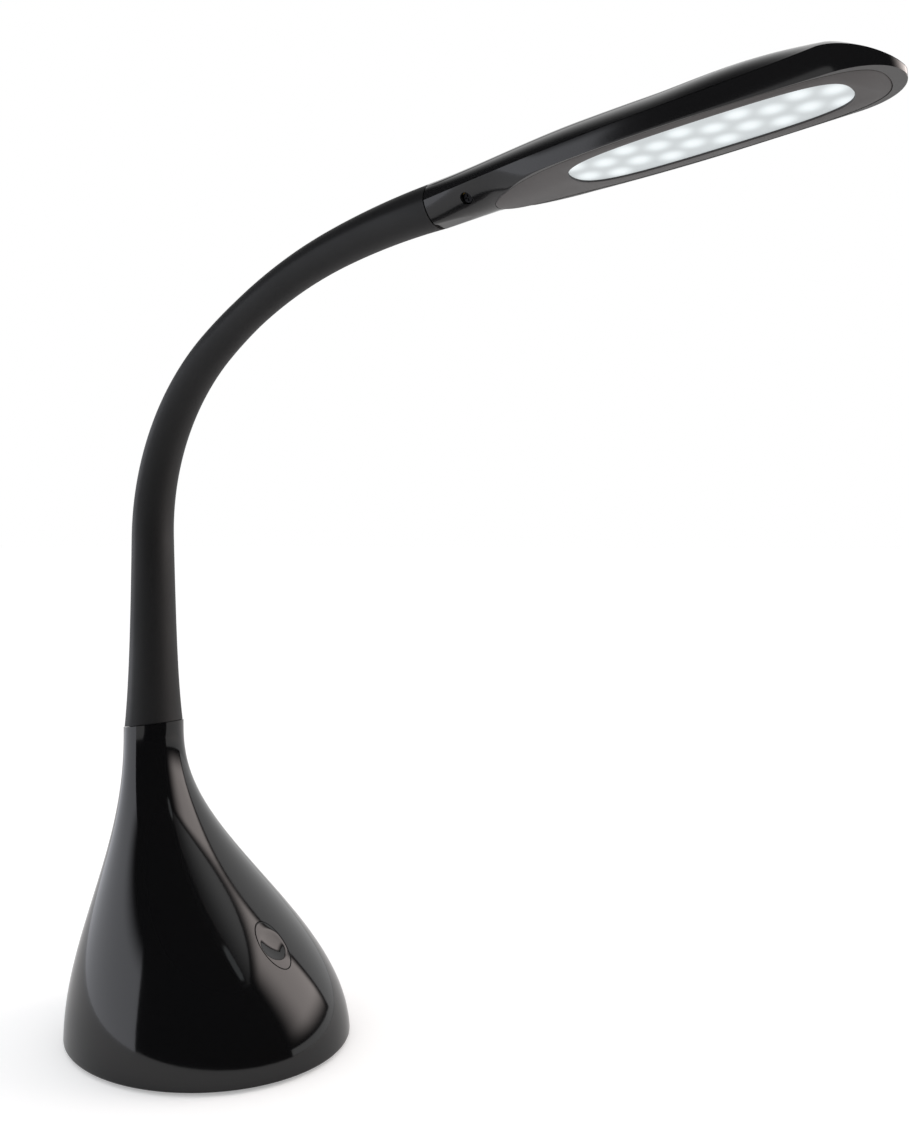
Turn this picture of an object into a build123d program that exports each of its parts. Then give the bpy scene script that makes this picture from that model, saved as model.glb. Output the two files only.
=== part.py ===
from build123d import *

import os
from math import atan2, cos, degrees, exp, radians, sin, sqrt, tan

os.makedirs("parts", exist_ok=True)

# Desk lamp: a bell base with a push button on its front slope, a gooseneck in a rubber sleeve,
# and a flat paddle head with rows of LEDs. Millimetres, +Z up. The origin is on the surface the
# lamp stands on, under the middle of the base. +X is the front: the button and the head face it.
# The lamp is symmetric about the plane y = 0.

# ---------------------------------------------------------------- driving dimensions

# Bell base
base_length = 144.0
base_width = 130.0
base_height = 149.0
foot_gap = 1.5
root_x = -38.0
root_depth = 27.6
root_width = 31.0
front_curve = 2.8
rear_curve = 3.6
side_curve = 2.6
shell_wall = 3.0
bell_layers = 9
seam_tilt = 8.0
seam_gap = 0.3
rim_fillet = 1.4

# Bottom plate, its screws and feet
plate_thickness = 3.0
plate_clearance = 0.3
boss_end_inset = 22.0
boss_side_inset = 29.0
boss_radius = 4.5
screw_radius = 1.5
screw_head_radius = 3.0
screw_head_height = 1.8
base_screw_length = 12.0
screw_clearance = 0.05
head_clearance = 0.3
foot_radius = 7.5
foot_recess = 0.4
foot_end_inset = 36.0
foot_side_inset = 35.0

# Ballast
ballast_length = 108.0
ballast_width = 92.0
ballast_thickness = 11.0
ballast_screw_place = 24.0
ballast_screw_length = 9.0

# Power inlet at the rear
inlet_height = 23.0
inlet_body_length = 13.0
inlet_body_width = 9.0
inlet_body_height = 11.0
inlet_nose_radius = 3.9
inlet_nose_length = 3.0
inlet_bore_radius = 2.85
inlet_bore_depth = 9.0
inlet_pin_radius = 1.0
inlet_wall = 6.0
inlet_pad_side = 2.0
inlet_pad_edge = 1.0
inlet_clearance = 0.1

# Push button on the front slope
button_height = 51.5
button_length = 26.0
button_width = 14.5
button_gap = 0.25
button_travel = 0.8
button_seat_depth = 4.4
button_flange = 1.5
button_flange_height = 1.2
button_dish_radius = 34.0
button_dish_depth = 0.9
button_stem_radius = 2.5
button_well_margin = 3.2
seat_clearance = 0.1

# Switch board behind the button
board_depth = 14.0
board_length = 42.0
board_width = 18.0
board_thickness = 1.6
board_post_spacing = 35.0
board_post_radius = 2.8
board_screw_length = 6.0
board_screw_radius = 1.1
board_screw_head_radius = 2.0
board_screw_head_height = 1.3
switch_size = 6.0
switch_height = 3.6
plunger_radius = 1.75
plunger_clearance = 0.1
plunger_reach = 1.1
plunger_depth = 1.6
plunger_room = 0.2

# Neck: where its centreline runs, and how its sleeve tapers
neck_rise = 94.0
shoulder_radius = 115.0
shoulder_angle = 53.0
crest_radius = 220.0
crest_angle = 22.3
runout_radius = 354.0
runout_angle = 8.72
neck_waist_width = 17.9
neck_taper_width = 25.5
neck_head_width = 21.6
flare_length = 28.0
waist_place = 0.66
head_flare_power = 1.8
sleeve_bulge = 0.88

# Neck: flexing links inside the sleeve
hinge_count = 7
first_hinge = 20.0
last_hinge = 20.0
link_bend_limit = 25.0
link_radius = 5.5
ball_radius = 4.1
ball_clearance = 0.1
stem_radius = 2.7
cup_lip = 1.2
stem_length = 5.5
wire_bore_radius = 1.9
sleeve_fit = 0.1
sleeve_end_clearance = 0.4
lead_radius = 0.6
lead_spacing = 1.3
lead_end_gap = 0.5
lead_bend_radius = 12.0
lead_drop = 12.0
lead_turn_height = 62.0
lead_place = 9.0
layers_per_link = 5

# Neck: how it is fastened in the base
root_flange_radius = 8.5
root_flange_height = 3.0
root_seat_depth = 5.5
root_shelf = 8.0
root_thread_radius = 5.0
root_thread_clearance = 0.2
root_overrun = 4.0
root_nut_flats = 16.0
root_nut_height = 5.0
washer_radius = 9.0
washer_thickness = 1.2
thread_run_out = 3.0

# Paddle head: its outer form along the length from the end of the neck
head_half_width = 22.8
head_widening = 118.0
bezel_drop = 6.2
nose_start = 165.0
nose_length = 22.5
nose_narrowing = 0.8
corner_rise = 2.8
corner_rise_power = 4
head_crown = 12.7
crown_rise_end = 75.0
crown_drop = 7.3
crown_drop_power = 6.5
nose_corner_fall = 5.8
nose_fall_power = 1.6
nose_crown_fall = 4.4
belly_rise = 0.045
belly_blend_start = 25.0
belly_blend_end = 60.0
belly_fullness = 0.98
head_layers = 9
head_wall = 2.0
floor_thickness = 1.2
parting_gap = 0.2

# Bezel, lens and light engine in the head
bezel_start = 29.0
bezel_middle = 117.0
bezel_end = 182.0
bezel_half_width = 20.9
bezel_rear_fullness = 0.6
bezel_front_fullness = 0.85
bezel_rim = 0.8
bezel_edge = 0.4
flat_start = 45.0
bezel_thickness = 2.0
bezel_clearance = 0.1
lens_start = 63.4
lens_middle = 117.0
lens_end = 170.0
lens_half_width = 15.8
lens_rear_fullness = 0.78
lens_front_fullness = 0.85
lens_recess = 0.7
lens_flange = 1.5
lens_flange_height = 1.0
lens_clearance = 0.15
reflector_wall = 1.2
reflector_height = 4.2
reflector_draft = 1.2
reflector_inset = 0.3
spreader_inset = 2.5
light_board_thickness = 1.6
spreader_thickness = 1.4
led_pitch = 21.5
led_first = 79.2
led_outer_row = 9.1
led_inner_row = 3.9
led_per_row = 4
led_length = 3.5
led_width = 2.8
led_height = 0.8
light_screw_length = 5.0
light_screw_radius = 0.9
light_screw_head_height = 0.9
light_screw_head_radius = 1.7
head_lead_rise_start = 36.0
head_lead_rise_end = 54.0
head_lead_end = 65.4

# Screws that join the head's two shells, and the clamp on the end of the neck
shell_screw_length = 5.0
shell_boss_radius = 2.7
boss_clearance = 0.15
rear_boss_place = 43.0
rear_boss_spread = 10.6
front_boss_place = 176.5
front_boss_spread = 9.0
clamp_place = 12.0
clamp_length = 17.0
clamp_radius = 6.3
clamp_land = 2.0
tail_radius = 3.5
tail_start = 4.0
clamp_fit = 0.05
clamp_screw_angle = 25.0
clamp_screw_radius = 1.3
clamp_screw_head_radius = 2.3
clamp_screw_head_height = 1.4


def save(node, name):
    """Label a finished piece and write it as its own file."""
    node.part.label = name
    export_step(node.part, f"parts/{name}.step")


# ---------------------------------------------------------------- bell base

root_front = root_x + root_depth / 2
root_rear = root_x - root_depth / 2


def bell_section(height, inset=0.0):
    """The ellipse of the bell at a height: its centre x, half length and half width."""
    swell = max(0.0, 1 - (height / base_height) ** 2)
    front = root_front + (base_length / 2 - root_front) * swell**front_curve
    rear = root_rear - (base_length / 2 + root_rear) * swell**rear_curve
    side = root_width / 2 + (base_width - root_width) / 2 * swell**side_curve
    return (front + rear) / 2, (front - rear) / 2 - inset, side - inset


def bell_sections(bottom, top, inset=0.0, grow_top=0.0):
    """Ellipses of the bell at even heights, and one more above them to be trimmed to the seam."""
    sections = []
    step = (top - bottom) / (bell_layers - 1)
    heights = [bottom + step * layer for layer in range(bell_layers)]
    if grow_top:
        heights.append(top + grow_top)
    for height in heights:
        centre, half_length, half_width = bell_section(height, inset)
        with BuildSketch(Plane.XY.offset(height)) as section:
            with Locations((centre, 0)):
                Ellipse(half_length, half_width)
        sections.append(section.sketch)
    return sections


plate_bottom = foot_gap
plate_top = plate_bottom + plate_thickness
root_seat = base_height - root_seat_depth
shelf_bottom = root_seat - root_shelf
boss_x, boss_y = base_length / 2 - boss_end_inset, base_width / 2 - boss_side_inset
boss_places = [(x, y) for x in (-boss_x, boss_x) for y in (-boss_y, boss_y)]
seam_plane = Plane((root_x, 0, base_height)).rotated((0, -seam_tilt, 0))

# The button's axis leaves the front slope square to it, at the button's height.
slope_step = 0.5
slope_low = bell_section(button_height - slope_step)
slope_high = bell_section(button_height + slope_step)
button_slope = degrees(atan2(2 * slope_step, slope_low[0] + slope_low[1] - slope_high[0] - slope_high[1]))
button_centre = bell_section(button_height)
button_plane = Plane(
    origin=(button_centre[0] + button_centre[1], 0, button_height),
    x_dir=(-cos(radians(button_slope)), 0, sin(radians(button_slope))),
    z_dir=(sin(radians(button_slope)), 0, cos(radians(button_slope))),
)

# The room inside the bell leaves the wall, the shelf under the neck, four screw bosses, the
# thick seat around the button, the posts of its board and the flat that carries the inlet.
inlet_face = -base_length / 2 + inlet_wall
with BuildPart() as bell_room:
    loft(bell_sections(plate_bottom, shelf_bottom, shell_wall))
    with BuildSketch(Plane.XY.offset(plate_top)):
        with Locations(*boss_places):
            Circle(boss_radius)
    extrude(amount=shelf_bottom - plate_top, mode=Mode.SUBTRACT)
    with BuildSketch(button_plane.offset(-button_seat_depth)):
        Ellipse(button_length / 2 + button_well_margin, button_width / 2 + button_well_margin)
    extrude(amount=button_seat_depth, mode=Mode.SUBTRACT)
    with BuildSketch(button_plane.offset(-board_depth)):
        with GridLocations(board_post_spacing, 0, 2, 1):
            Circle(board_post_radius)
    extrude(amount=board_depth, mode=Mode.SUBTRACT)
    with BuildSketch(Plane.YZ.offset(inlet_face)):
        with Locations((0, inlet_height)):
            Rectangle(inlet_body_width + 2 * inlet_pad_side, inlet_body_height + 2 * inlet_pad_edge)
    extrude(amount=-inlet_wall, mode=Mode.SUBTRACT)

with BuildPart() as bell:
    loft(bell_sections(foot_gap, base_height, grow_top=root_seat_depth))
    fillet(bell.edges().group_by(Axis.Z)[0], radius=rim_fillet)
    split(bisect_by=seam_plane, keep=Keep.BOTTOM)

with BuildPart() as base_shell:
    add(bell.part)
    add(bell_room.part, mode=Mode.SUBTRACT)
    with BuildSketch(Plane.XY.offset(root_seat)):
        with Locations((root_x, 0)):
            Circle(root_flange_radius + root_thread_clearance)
    extrude(amount=2 * root_seat_depth, mode=Mode.SUBTRACT)
    with BuildSketch(Plane.XY.offset(shelf_bottom)):
        with Locations((root_x, 0)):
            Circle(root_thread_radius + root_thread_clearance)
    extrude(amount=root_shelf, mode=Mode.SUBTRACT)
    with BuildSketch(Plane.XY.offset(plate_top)):
        with Locations(*boss_places):
            Circle(screw_radius + screw_clearance)
    extrude(amount=base_screw_length, mode=Mode.SUBTRACT)
    with BuildSketch(button_plane):
        Ellipse(button_length / 2 + button_gap, button_width / 2 + button_gap)
    extrude(amount=button_seat_depth, both=True, mode=Mode.SUBTRACT)
    with BuildSketch(button_plane.offset(-board_depth)):
        with GridLocations(board_post_spacing, 0, 2, 1):
            Circle(board_screw_radius + screw_clearance)
    extrude(amount=board_screw_length, mode=Mode.SUBTRACT)
    with BuildSketch(Plane.YZ.offset(inlet_face)):
        with Locations((0, inlet_height)):
            Circle(inlet_nose_radius + inlet_clearance)
    extrude(amount=-2 * inlet_wall, mode=Mode.SUBTRACT)
save(base_shell, "base_shell")


def screw(radius, head_radius, head_height, length):
    """A cross-recess pan screw standing on its head: head from z = 0, shank above it."""
    with BuildPart() as one_screw:
        Cylinder(head_radius, head_height, align=(Align.CENTER, Align.CENTER, Align.MIN))
        fillet(one_screw.edges().group_by(Axis.Z)[0], radius=head_height / 3)
        for turn in (0, 90):
            with Locations(Location((0, 0, 0), (0, 0, turn))):
                Box(1.2 * head_radius, 0.25 * head_radius, head_height, mode=Mode.SUBTRACT)
        with Locations((0, 0, head_height)):
            Cylinder(radius, length, align=(Align.CENTER, Align.CENTER, Align.MIN))
    return one_screw.part


def screw_group(places, radius, head_radius, head_height, length):
    """The same screw at each place, as one group of separate solids."""
    one_screw = screw(radius, head_radius, head_height, length)
    with BuildPart() as group:
        with Locations(*places):
            add(one_screw)
    return group


# ---------------------------------------------------------------- bottom plate, ballast and feet

head_pocket = screw_head_height + head_clearance
ballast_screw_places = [(-ballast_screw_place, 0), (ballast_screw_place, 0)]
foot_x, foot_y = base_length / 2 - foot_end_inset, base_width / 2 - foot_side_inset
foot_places = [(x, y) for x in (-foot_x, foot_x) for y in (-foot_y, foot_y)]
with BuildPart() as base_plate:
    centre, half_length, half_width = bell_section(plate_bottom, shell_wall + plate_clearance)
    with BuildSketch(Plane.XY.offset(plate_bottom)):
        with Locations((centre, 0)):
            Ellipse(half_length, half_width)
    extrude(amount=plate_thickness)
    with BuildSketch(Plane.XY.offset(plate_bottom)):
        with Locations(*boss_places, *ballast_screw_places):
            Circle(screw_radius + screw_clearance)
    extrude(amount=plate_thickness, mode=Mode.SUBTRACT)
    with BuildSketch(Plane.XY.offset(plate_bottom)):
        with Locations(*boss_places, *ballast_screw_places):
            Circle(screw_head_radius + head_clearance)
    extrude(amount=head_pocket, mode=Mode.SUBTRACT)
    with BuildSketch(Plane.XY.offset(plate_bottom)):
        with Locations(*foot_places):
            Circle(foot_radius)
    extrude(amount=foot_recess, mode=Mode.SUBTRACT)
save(base_plate, "base_plate")

with BuildPart() as rubber_feet:
    with BuildSketch():
        with Locations(*foot_places):
            Circle(foot_radius)
    extrude(amount=foot_gap + foot_recess)
    chamfer(rubber_feet.edges().group_by(Axis.Z)[0], length=foot_recess)
save(rubber_feet, "rubber_feet")

screw_seat = plate_bottom + head_pocket - screw_head_height
base_screws = screw_group(
    [(x, y, screw_seat) for x, y in boss_places],
    screw_radius, screw_head_radius, screw_head_height, base_screw_length,
)
save(base_screws, "base_screws")

ballast_screws = screw_group(
    [(x, y, screw_seat) for x, y in ballast_screw_places],
    screw_radius, screw_head_radius, screw_head_height, ballast_screw_length,
)
save(ballast_screws, "ballast_screws")

with BuildPart() as ballast_weight:
    with BuildSketch(Plane.XY.offset(plate_top)):
        Ellipse(ballast_length / 2, ballast_width / 2)
    extrude(amount=ballast_thickness)
    with BuildSketch(Plane.XY.offset(plate_top)):
        with Locations(*ballast_screw_places):
            Circle(screw_radius + screw_clearance)
    extrude(amount=ballast_screw_length, mode=Mode.SUBTRACT)
save(ballast_weight, "ballast_weight")

# ---------------------------------------------------------------- power inlet

inlet_front = Plane.YZ.offset(inlet_face - inlet_nose_length)
with BuildPart() as inlet_body:
    with BuildSketch(Plane.YZ.offset(inlet_face)):
        with Locations((0, inlet_height)):
            Rectangle(inlet_body_width, inlet_body_height)
    extrude(amount=inlet_body_length)
    with BuildSketch(inlet_front):
        with Locations((0, inlet_height)):
            Circle(inlet_nose_radius)
    extrude(amount=inlet_nose_length)
    with BuildSketch(inlet_front):
        with Locations((0, inlet_height)):
            Circle(inlet_bore_radius)
    extrude(amount=inlet_bore_depth, mode=Mode.SUBTRACT)
    with BuildSketch(inlet_front):
        with Locations((0, inlet_height)):
            Circle(inlet_pin_radius + inlet_clearance / 2)
    extrude(amount=inlet_body_length, mode=Mode.SUBTRACT)
save(inlet_body, "inlet_body")

with BuildPart() as inlet_pin:
    with BuildSketch(inlet_front.offset(inlet_nose_length / 2)):
        with Locations((0, inlet_height)):
            Circle(inlet_pin_radius)
    extrude(amount=inlet_body_length - inlet_nose_length)
save(inlet_pin, "inlet_pin")

# ---------------------------------------------------------------- button and switch board

flange_depth = button_seat_depth + seat_clearance
switch_top = board_depth - switch_height
plunger_top = switch_top - plunger_reach
stem_start = flange_depth + button_flange_height
with BuildPart() as push_button:
    with BuildSketch(button_plane.offset(-flange_depth)):
        Ellipse(button_length / 2, button_width / 2)
    extrude(amount=2 * flange_depth)
    add(bell.part, mode=Mode.INTERSECT)
    with Locations(button_plane.offset(button_dish_radius - button_dish_depth)):
        Sphere(button_dish_radius, mode=Mode.SUBTRACT)
    with BuildSketch(button_plane.offset(-flange_depth)):
        Ellipse(button_length / 2 + button_flange, button_width / 2 + button_flange)
    extrude(amount=-button_flange_height)
    with BuildSketch(button_plane.offset(-stem_start)):
        Circle(button_stem_radius)
    extrude(amount=stem_start - plunger_top)
save(push_button, "push_button")

with BuildPart() as switch_plunger:
    with BuildSketch(button_plane.offset(-plunger_top)):
        Circle(plunger_radius)
    extrude(amount=-plunger_reach - plunger_depth)
save(switch_plunger, "switch_plunger")

with BuildPart() as switch_body:
    with BuildSketch(button_plane.offset(-switch_top)):
        Rectangle(switch_size, switch_size)
        Circle(plunger_radius + plunger_clearance, mode=Mode.SUBTRACT)
    extrude(amount=-plunger_depth - button_travel - plunger_room)
    with BuildSketch(button_plane.offset(-board_depth)):
        Rectangle(switch_size, switch_size)
    extrude(amount=switch_height - plunger_depth - button_travel - plunger_room)
save(switch_body, "switch_body")

with BuildPart() as control_board:
    with BuildSketch(button_plane.offset(-board_depth)):
        Rectangle(board_length, board_width)
        with GridLocations(board_post_spacing, 0, 2, 1):
            Circle(board_screw_radius + screw_clearance, mode=Mode.SUBTRACT)
    extrude(amount=-board_thickness)
save(control_board, "control_board")

board_screw_places = [(x, 0, 0) for x in (-board_post_spacing / 2, board_post_spacing / 2)]
board_screw_plane = Plane(
    origin=button_plane.from_local_coords((0, 0, -board_depth - board_thickness - board_screw_head_height)),
    x_dir=button_plane.x_dir,
    z_dir=button_plane.z_dir,
)
with BuildPart() as board_screws:
    with Locations(board_screw_plane):
        with Locations(*board_screw_places):
            add(screw(board_screw_radius, board_screw_head_radius, board_screw_head_height, board_screw_length))
save(board_screws, "board_screws")

# ---------------------------------------------------------------- neck: centreline and widths

with BuildLine(Plane.XZ) as neck_line:
    rise = Line((root_x, base_height), (root_x, base_height + neck_rise))
    shoulder = JernArc(rise @ 1, rise % 1, shoulder_radius, -shoulder_angle)
    crest = JernArc(shoulder @ 1, shoulder % 1, crest_radius, -crest_angle)
    runout = JernArc(crest @ 1, crest % 1, runout_radius, -runout_angle)
neck_wire = neck_line.wire()
neck_length = neck_wire.length
waist_at = neck_length * waist_place
hinge_pitch = (neck_length - first_hinge - last_hinge) / (hinge_count - 1)
hinge_places = [first_hinge + hinge_pitch * number for number in range(hinge_count)]


def neck_plane(place):
    """The plane across the neck at a length along it from the seam; its +y is the back."""
    return Plane(
        origin=neck_wire.position_at(place, position_mode=PositionMode.LENGTH),
        x_dir=(0, 1, 0),
        z_dir=neck_wire.tangent_at(place, position_mode=PositionMode.LENGTH),
    )


def neck_half_width(place):
    """Half the width of the sleeve: a flare at the root, a waist, then wider to the head."""
    waist = neck_waist_width / 2
    if place < waist_at:
        taper = (neck_taper_width - neck_waist_width) / 2 * (1 - place / waist_at)
        return waist + taper + (root_width - neck_taper_width) / 2 * exp(-place / flare_length)
    widening = ((place - waist_at) / (neck_length - waist_at)) ** head_flare_power
    return waist + (neck_head_width / 2 - waist) * widening


def span_planes(lower, lower_gap, upper, upper_gap):
    """Planes across the neck between two places; the end ones are square to the neck there."""
    step = (upper - lower) / (layers_per_link - 1)
    inner = [neck_plane(lower + step * layer) for layer in range(1, layers_per_link - 1)]
    return [neck_plane(lower).offset(lower_gap)] + inner + [neck_plane(upper).offset(-upper_gap)]


def span_places(lower, lower_gap, upper, upper_gap):
    """The lengths along the neck of the planes that span_planes returns."""
    step = (upper - lower) / (layers_per_link - 1)
    inner = [lower + step * layer for layer in range(1, layers_per_link - 1)]
    return [lower + lower_gap] + inner + [upper - upper_gap]


def round_bar(planes, radius):
    """A round bar through the middles of the planes."""
    sections = []
    for plane in planes:
        with BuildSketch(plane) as section:
            Circle(radius)
        sections.append(section.sketch)
    return loft(sections)


def sleeve_form(planes, places):
    """The outside of the sleeve: two shallow arcs that meet in a crisp line along each side."""
    sections = []
    for plane, place in zip(planes, places):
        half_width = neck_half_width(place)
        with BuildSketch(plane) as section:
            with BuildLine():
                ThreePointArc((-half_width, 0), (0, sleeve_bulge * half_width), (half_width, 0))
                ThreePointArc((half_width, 0), (0, -sleeve_bulge * half_width), (-half_width, 0))
            make_face()
        sections.append(section.sketch)
    return loft(sections)


def sleeve_gap(place):
    """How far each sleeve end stays from a hinge so that the sleeves clear each other bent."""
    return neck_half_width(place) * tan(radians(link_bend_limit / 2)) + sleeve_end_clearance


def ball_end(place):
    """A ball on a stem at a hinge, with the wire bore opening out towards the next link."""
    plane = neck_plane(place)
    reach = ball_radius * tan(radians(link_bend_limit))
    with BuildPart() as ball:
        with Locations(plane):
            Sphere(ball_radius)
        with BuildSketch(plane.offset(-stem_length)):
            Circle(stem_radius)
        extrude(amount=stem_length)
        with BuildSketch(plane):
            Circle(wire_bore_radius)
        with BuildSketch(plane.offset(ball_radius)):
            Circle(wire_bore_radius + reach)
        loft(mode=Mode.SUBTRACT)
    return ball.part


def cup(place):
    """The hollow for the ball of the link below, to be cut from the lower end of a link."""
    with BuildPart() as hollow:
        with Locations(neck_plane(place)):
            Sphere(ball_radius + ball_clearance)
    return hollow.part


def lead_spots():
    """Where the two insulated wires lie side by side across the neck."""
    return [(-lead_spacing / 2, 0), (lead_spacing / 2, 0)]


def link_leads(planes):
    """The pair of wires through the middles of the planes."""
    with BuildPart() as pair:
        for spot in lead_spots():
            sections = []
            for plane in planes:
                with BuildSketch(plane) as section:
                    with Locations(spot):
                        Circle(lead_radius)
                sections.append(section.sketch)
            add(loft(sections))
    return pair


def leads(path, plane):
    """The pair of wires along a path that starts on a plane."""
    with BuildPart() as pair:
        with BuildSketch(plane):
            with Locations(*lead_spots()):
                Circle(lead_radius)
        sweep(path=path)
    return pair


# ---------------------------------------------------------------- neck: root fastening and leads

shank_bottom = shelf_bottom - washer_thickness - root_nut_height - thread_run_out
with BuildPart() as root_washer:
    with BuildSketch(Plane.XY.offset(shelf_bottom)):
        with Locations((root_x, 0)):
            Circle(washer_radius)
            Circle(root_thread_radius + root_thread_clearance, mode=Mode.SUBTRACT)
    extrude(amount=-washer_thickness)
save(root_washer, "root_washer")

with BuildPart() as root_nut:
    with BuildSketch(Plane.XY.offset(shelf_bottom - washer_thickness)):
        with Locations((root_x, 0)):
            RegularPolygon(root_nut_flats / 2, 6, major_radius=False)
            Circle(root_thread_radius + screw_clearance, mode=Mode.SUBTRACT)
    extrude(amount=-root_nut_height)
save(root_nut, "root_nut")

board_back = -board_depth - board_thickness
power_end = button_plane.from_local_coords((-lead_place, 0, board_back))
power_turn = power_end - button_plane.z_dir * ((power_end.Z - inlet_height) / button_plane.z_dir.Z)
inlet_back = inlet_face + inlet_body_length
with BuildLine(Plane.XZ) as power_path:
    FilletPolyline(
        (inlet_back, inlet_height), (power_turn.X, inlet_height), (power_end.X, power_end.Z),
        radius=lead_bend_radius,
    )
power_lead = leads(power_path.wire(), Plane((inlet_back, 0, inlet_height), x_dir=(0, 1, 0), z_dir=(1, 0, 0)))
save(power_lead, "power_lead")

supply_start = button_plane.from_local_coords((lead_place, 0, board_back))
supply_turn = supply_start - button_plane.z_dir * lead_drop
with BuildLine(Plane.XZ) as supply_path:
    FilletPolyline(
        (supply_start.X, supply_start.Z), (supply_turn.X, supply_turn.Z), (root_x, lead_turn_height),
        (root_x, base_height + first_hinge - lead_end_gap),
        radius=lead_bend_radius,
    )
supply_plane = Plane(supply_start, x_dir=(0, 1, 0), z_dir=-button_plane.z_dir)
neck_lead_0 = leads(supply_path.wire(), supply_plane)
save(neck_lead_0, "neck_lead_0")

# ---------------------------------------------------------------- neck: link and sleeve in the base

with BuildPart() as neck_link_0:
    with BuildSketch(Plane.XY.offset(root_seat)):
        with Locations((root_x, 0)):
            Circle(root_flange_radius)
    extrude(amount=root_flange_height)
    with BuildSketch(Plane.XY.offset(shank_bottom)):
        with Locations((root_x, 0)):
            Circle(root_thread_radius)
    extrude(amount=root_seat - shank_bottom)
    with BuildSketch(Plane.XY.offset(root_seat)):
        with Locations((root_x, 0)):
            Circle(link_radius)
    extrude(amount=base_height + first_hinge - stem_length - root_seat)
    add(ball_end(first_hinge))
    with BuildSketch(Plane.XY.offset(shank_bottom)):
        with Locations((root_x, 0)):
            Circle(wire_bore_radius)
    extrude(amount=base_height + first_hinge - shank_bottom, mode=Mode.SUBTRACT)
save(neck_link_0, "neck_link_0")

with BuildPart() as neck_sleeve_0:
    root_gap = sleeve_gap(first_hinge)
    add(sleeve_form(
        span_planes(0, -root_overrun, first_hinge, root_gap),
        span_places(0, -root_overrun, first_hinge, root_gap),
    ))
    with BuildSketch(Plane.XY.offset(root_seat)):
        with Locations((root_x, 0)):
            Circle(link_radius + sleeve_fit)
    extrude(amount=first_hinge + root_seat_depth, mode=Mode.SUBTRACT)
    split(bisect_by=seam_plane.offset(seam_gap), keep=Keep.TOP)
save(neck_sleeve_0, "neck_sleeve_0")

# ---------------------------------------------------------------- neck: the links between hinges

for number in range(1, hinge_count):
    lower, upper = hinge_places[number - 1], hinge_places[number]
    link_planes = span_planes(lower, -cup_lip, upper, 0)
    with BuildPart() as link:
        add(round_bar(link_planes, link_radius))
        split(bisect_by=neck_plane(upper).offset(-stem_length), keep=Keep.BOTTOM)
        add(cup(lower), mode=Mode.SUBTRACT)
        add(ball_end(upper))
        add(round_bar(link_planes, wire_bore_radius), mode=Mode.SUBTRACT)
    save(link, f"neck_link_{number}")

    ends = (lower, sleeve_gap(lower), upper, sleeve_gap(upper))
    with BuildPart() as sleeve:
        add(sleeve_form(span_planes(*ends), span_places(*ends)))
        add(round_bar(link_planes, link_radius + sleeve_fit), mode=Mode.SUBTRACT)
    save(sleeve, f"neck_sleeve_{number}")
    save(link_leads(span_planes(lower, lead_end_gap, upper, lead_end_gap)), f"neck_lead_{number}")

# ---------------------------------------------------------------- neck: the link held in the head

# The head's plane lies on its bezel: x runs from the end of the neck to the tip, z points up.
neck_end = neck_plane(neck_length)
head_plane = Plane(
    origin=neck_end.origin - neck_end.y_dir * bezel_drop,
    x_dir=neck_end.z_dir,
    z_dir=neck_end.y_dir,
)
head_side = Plane(origin=head_plane.origin, x_dir=head_plane.x_dir, z_dir=(0, -1, 0))
clamp_end = clamp_place + clamp_length
last_place = hinge_places[-1]
tail_planes = span_planes(last_place, -cup_lip, neck_length, -tail_start)

with BuildPart() as neck_link_7:
    add(round_bar(tail_planes, link_radius))
    with BuildSketch(neck_end.offset(tail_start)):
        Circle(tail_radius)
    extrude(amount=clamp_end - tail_start)
    add(cup(last_place), mode=Mode.SUBTRACT)
    add(round_bar(tail_planes, wire_bore_radius), mode=Mode.SUBTRACT)
    with BuildSketch(neck_end.offset(tail_start)):
        Circle(wire_bore_radius)
    extrude(amount=clamp_end - tail_start, mode=Mode.SUBTRACT)
save(neck_link_7, "neck_link_7")

with BuildPart() as neck_sleeve_7:
    last_ends = (last_place, sleeve_gap(last_place), neck_length, seam_gap)
    add(sleeve_form(span_planes(*last_ends), span_places(*last_ends)))
    add(round_bar(tail_planes, link_radius + sleeve_fit), mode=Mode.SUBTRACT)
save(neck_sleeve_7, "neck_sleeve_7")

# ---------------------------------------------------------------- head: outer form and room inside


def head_width_at(place):
    """Half the head's width at a length from the end of the neck."""
    start = neck_head_width / 2
    if place < head_widening:
        return start + (head_half_width - start) * sin(radians(90 * place / head_widening))
    return head_half_width - nose_narrowing * (place - head_widening) / (nose_start - head_widening)


def nose_share(place):
    """How far along the rounded nose a place is: 0 before it, 1 at its tip."""
    return max(0.0, (place - nose_start) / nose_length)


def level_share(share):
    """A share between 0 and 1 that starts and ends level."""
    share = min(1.0, max(0.0, share))
    return share**2 * (3 - 2 * share)


def corner_height(place):
    """Height above the bezel of the line along each side where the two shells meet."""
    rise = corner_rise * min(1.0, place / nose_start) ** corner_rise_power
    return bezel_drop + rise - nose_corner_fall * nose_share(place) ** nose_fall_power


def crown_height(place):
    """Height of the middle of the top above that line."""
    start = sleeve_bulge * neck_head_width / 2
    rise = (head_crown - start) * level_share(place / crown_rise_end)
    drop = crown_drop * min(1.0, place / nose_start) ** crown_drop_power
    return start + rise - drop - nose_crown_fall * nose_share(place)


def belly_depth(place):
    """Depth of the underside below that line, before the flat of the bezel cuts it off."""
    low = sleeve_bulge * neck_head_width / 2 + corner_height(place) - bezel_drop - belly_rise * place
    full = belly_fullness * head_width_at(place)
    share = level_share((place - belly_blend_start) / (belly_blend_end - belly_blend_start))
    return low + (full - low) * share


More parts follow.
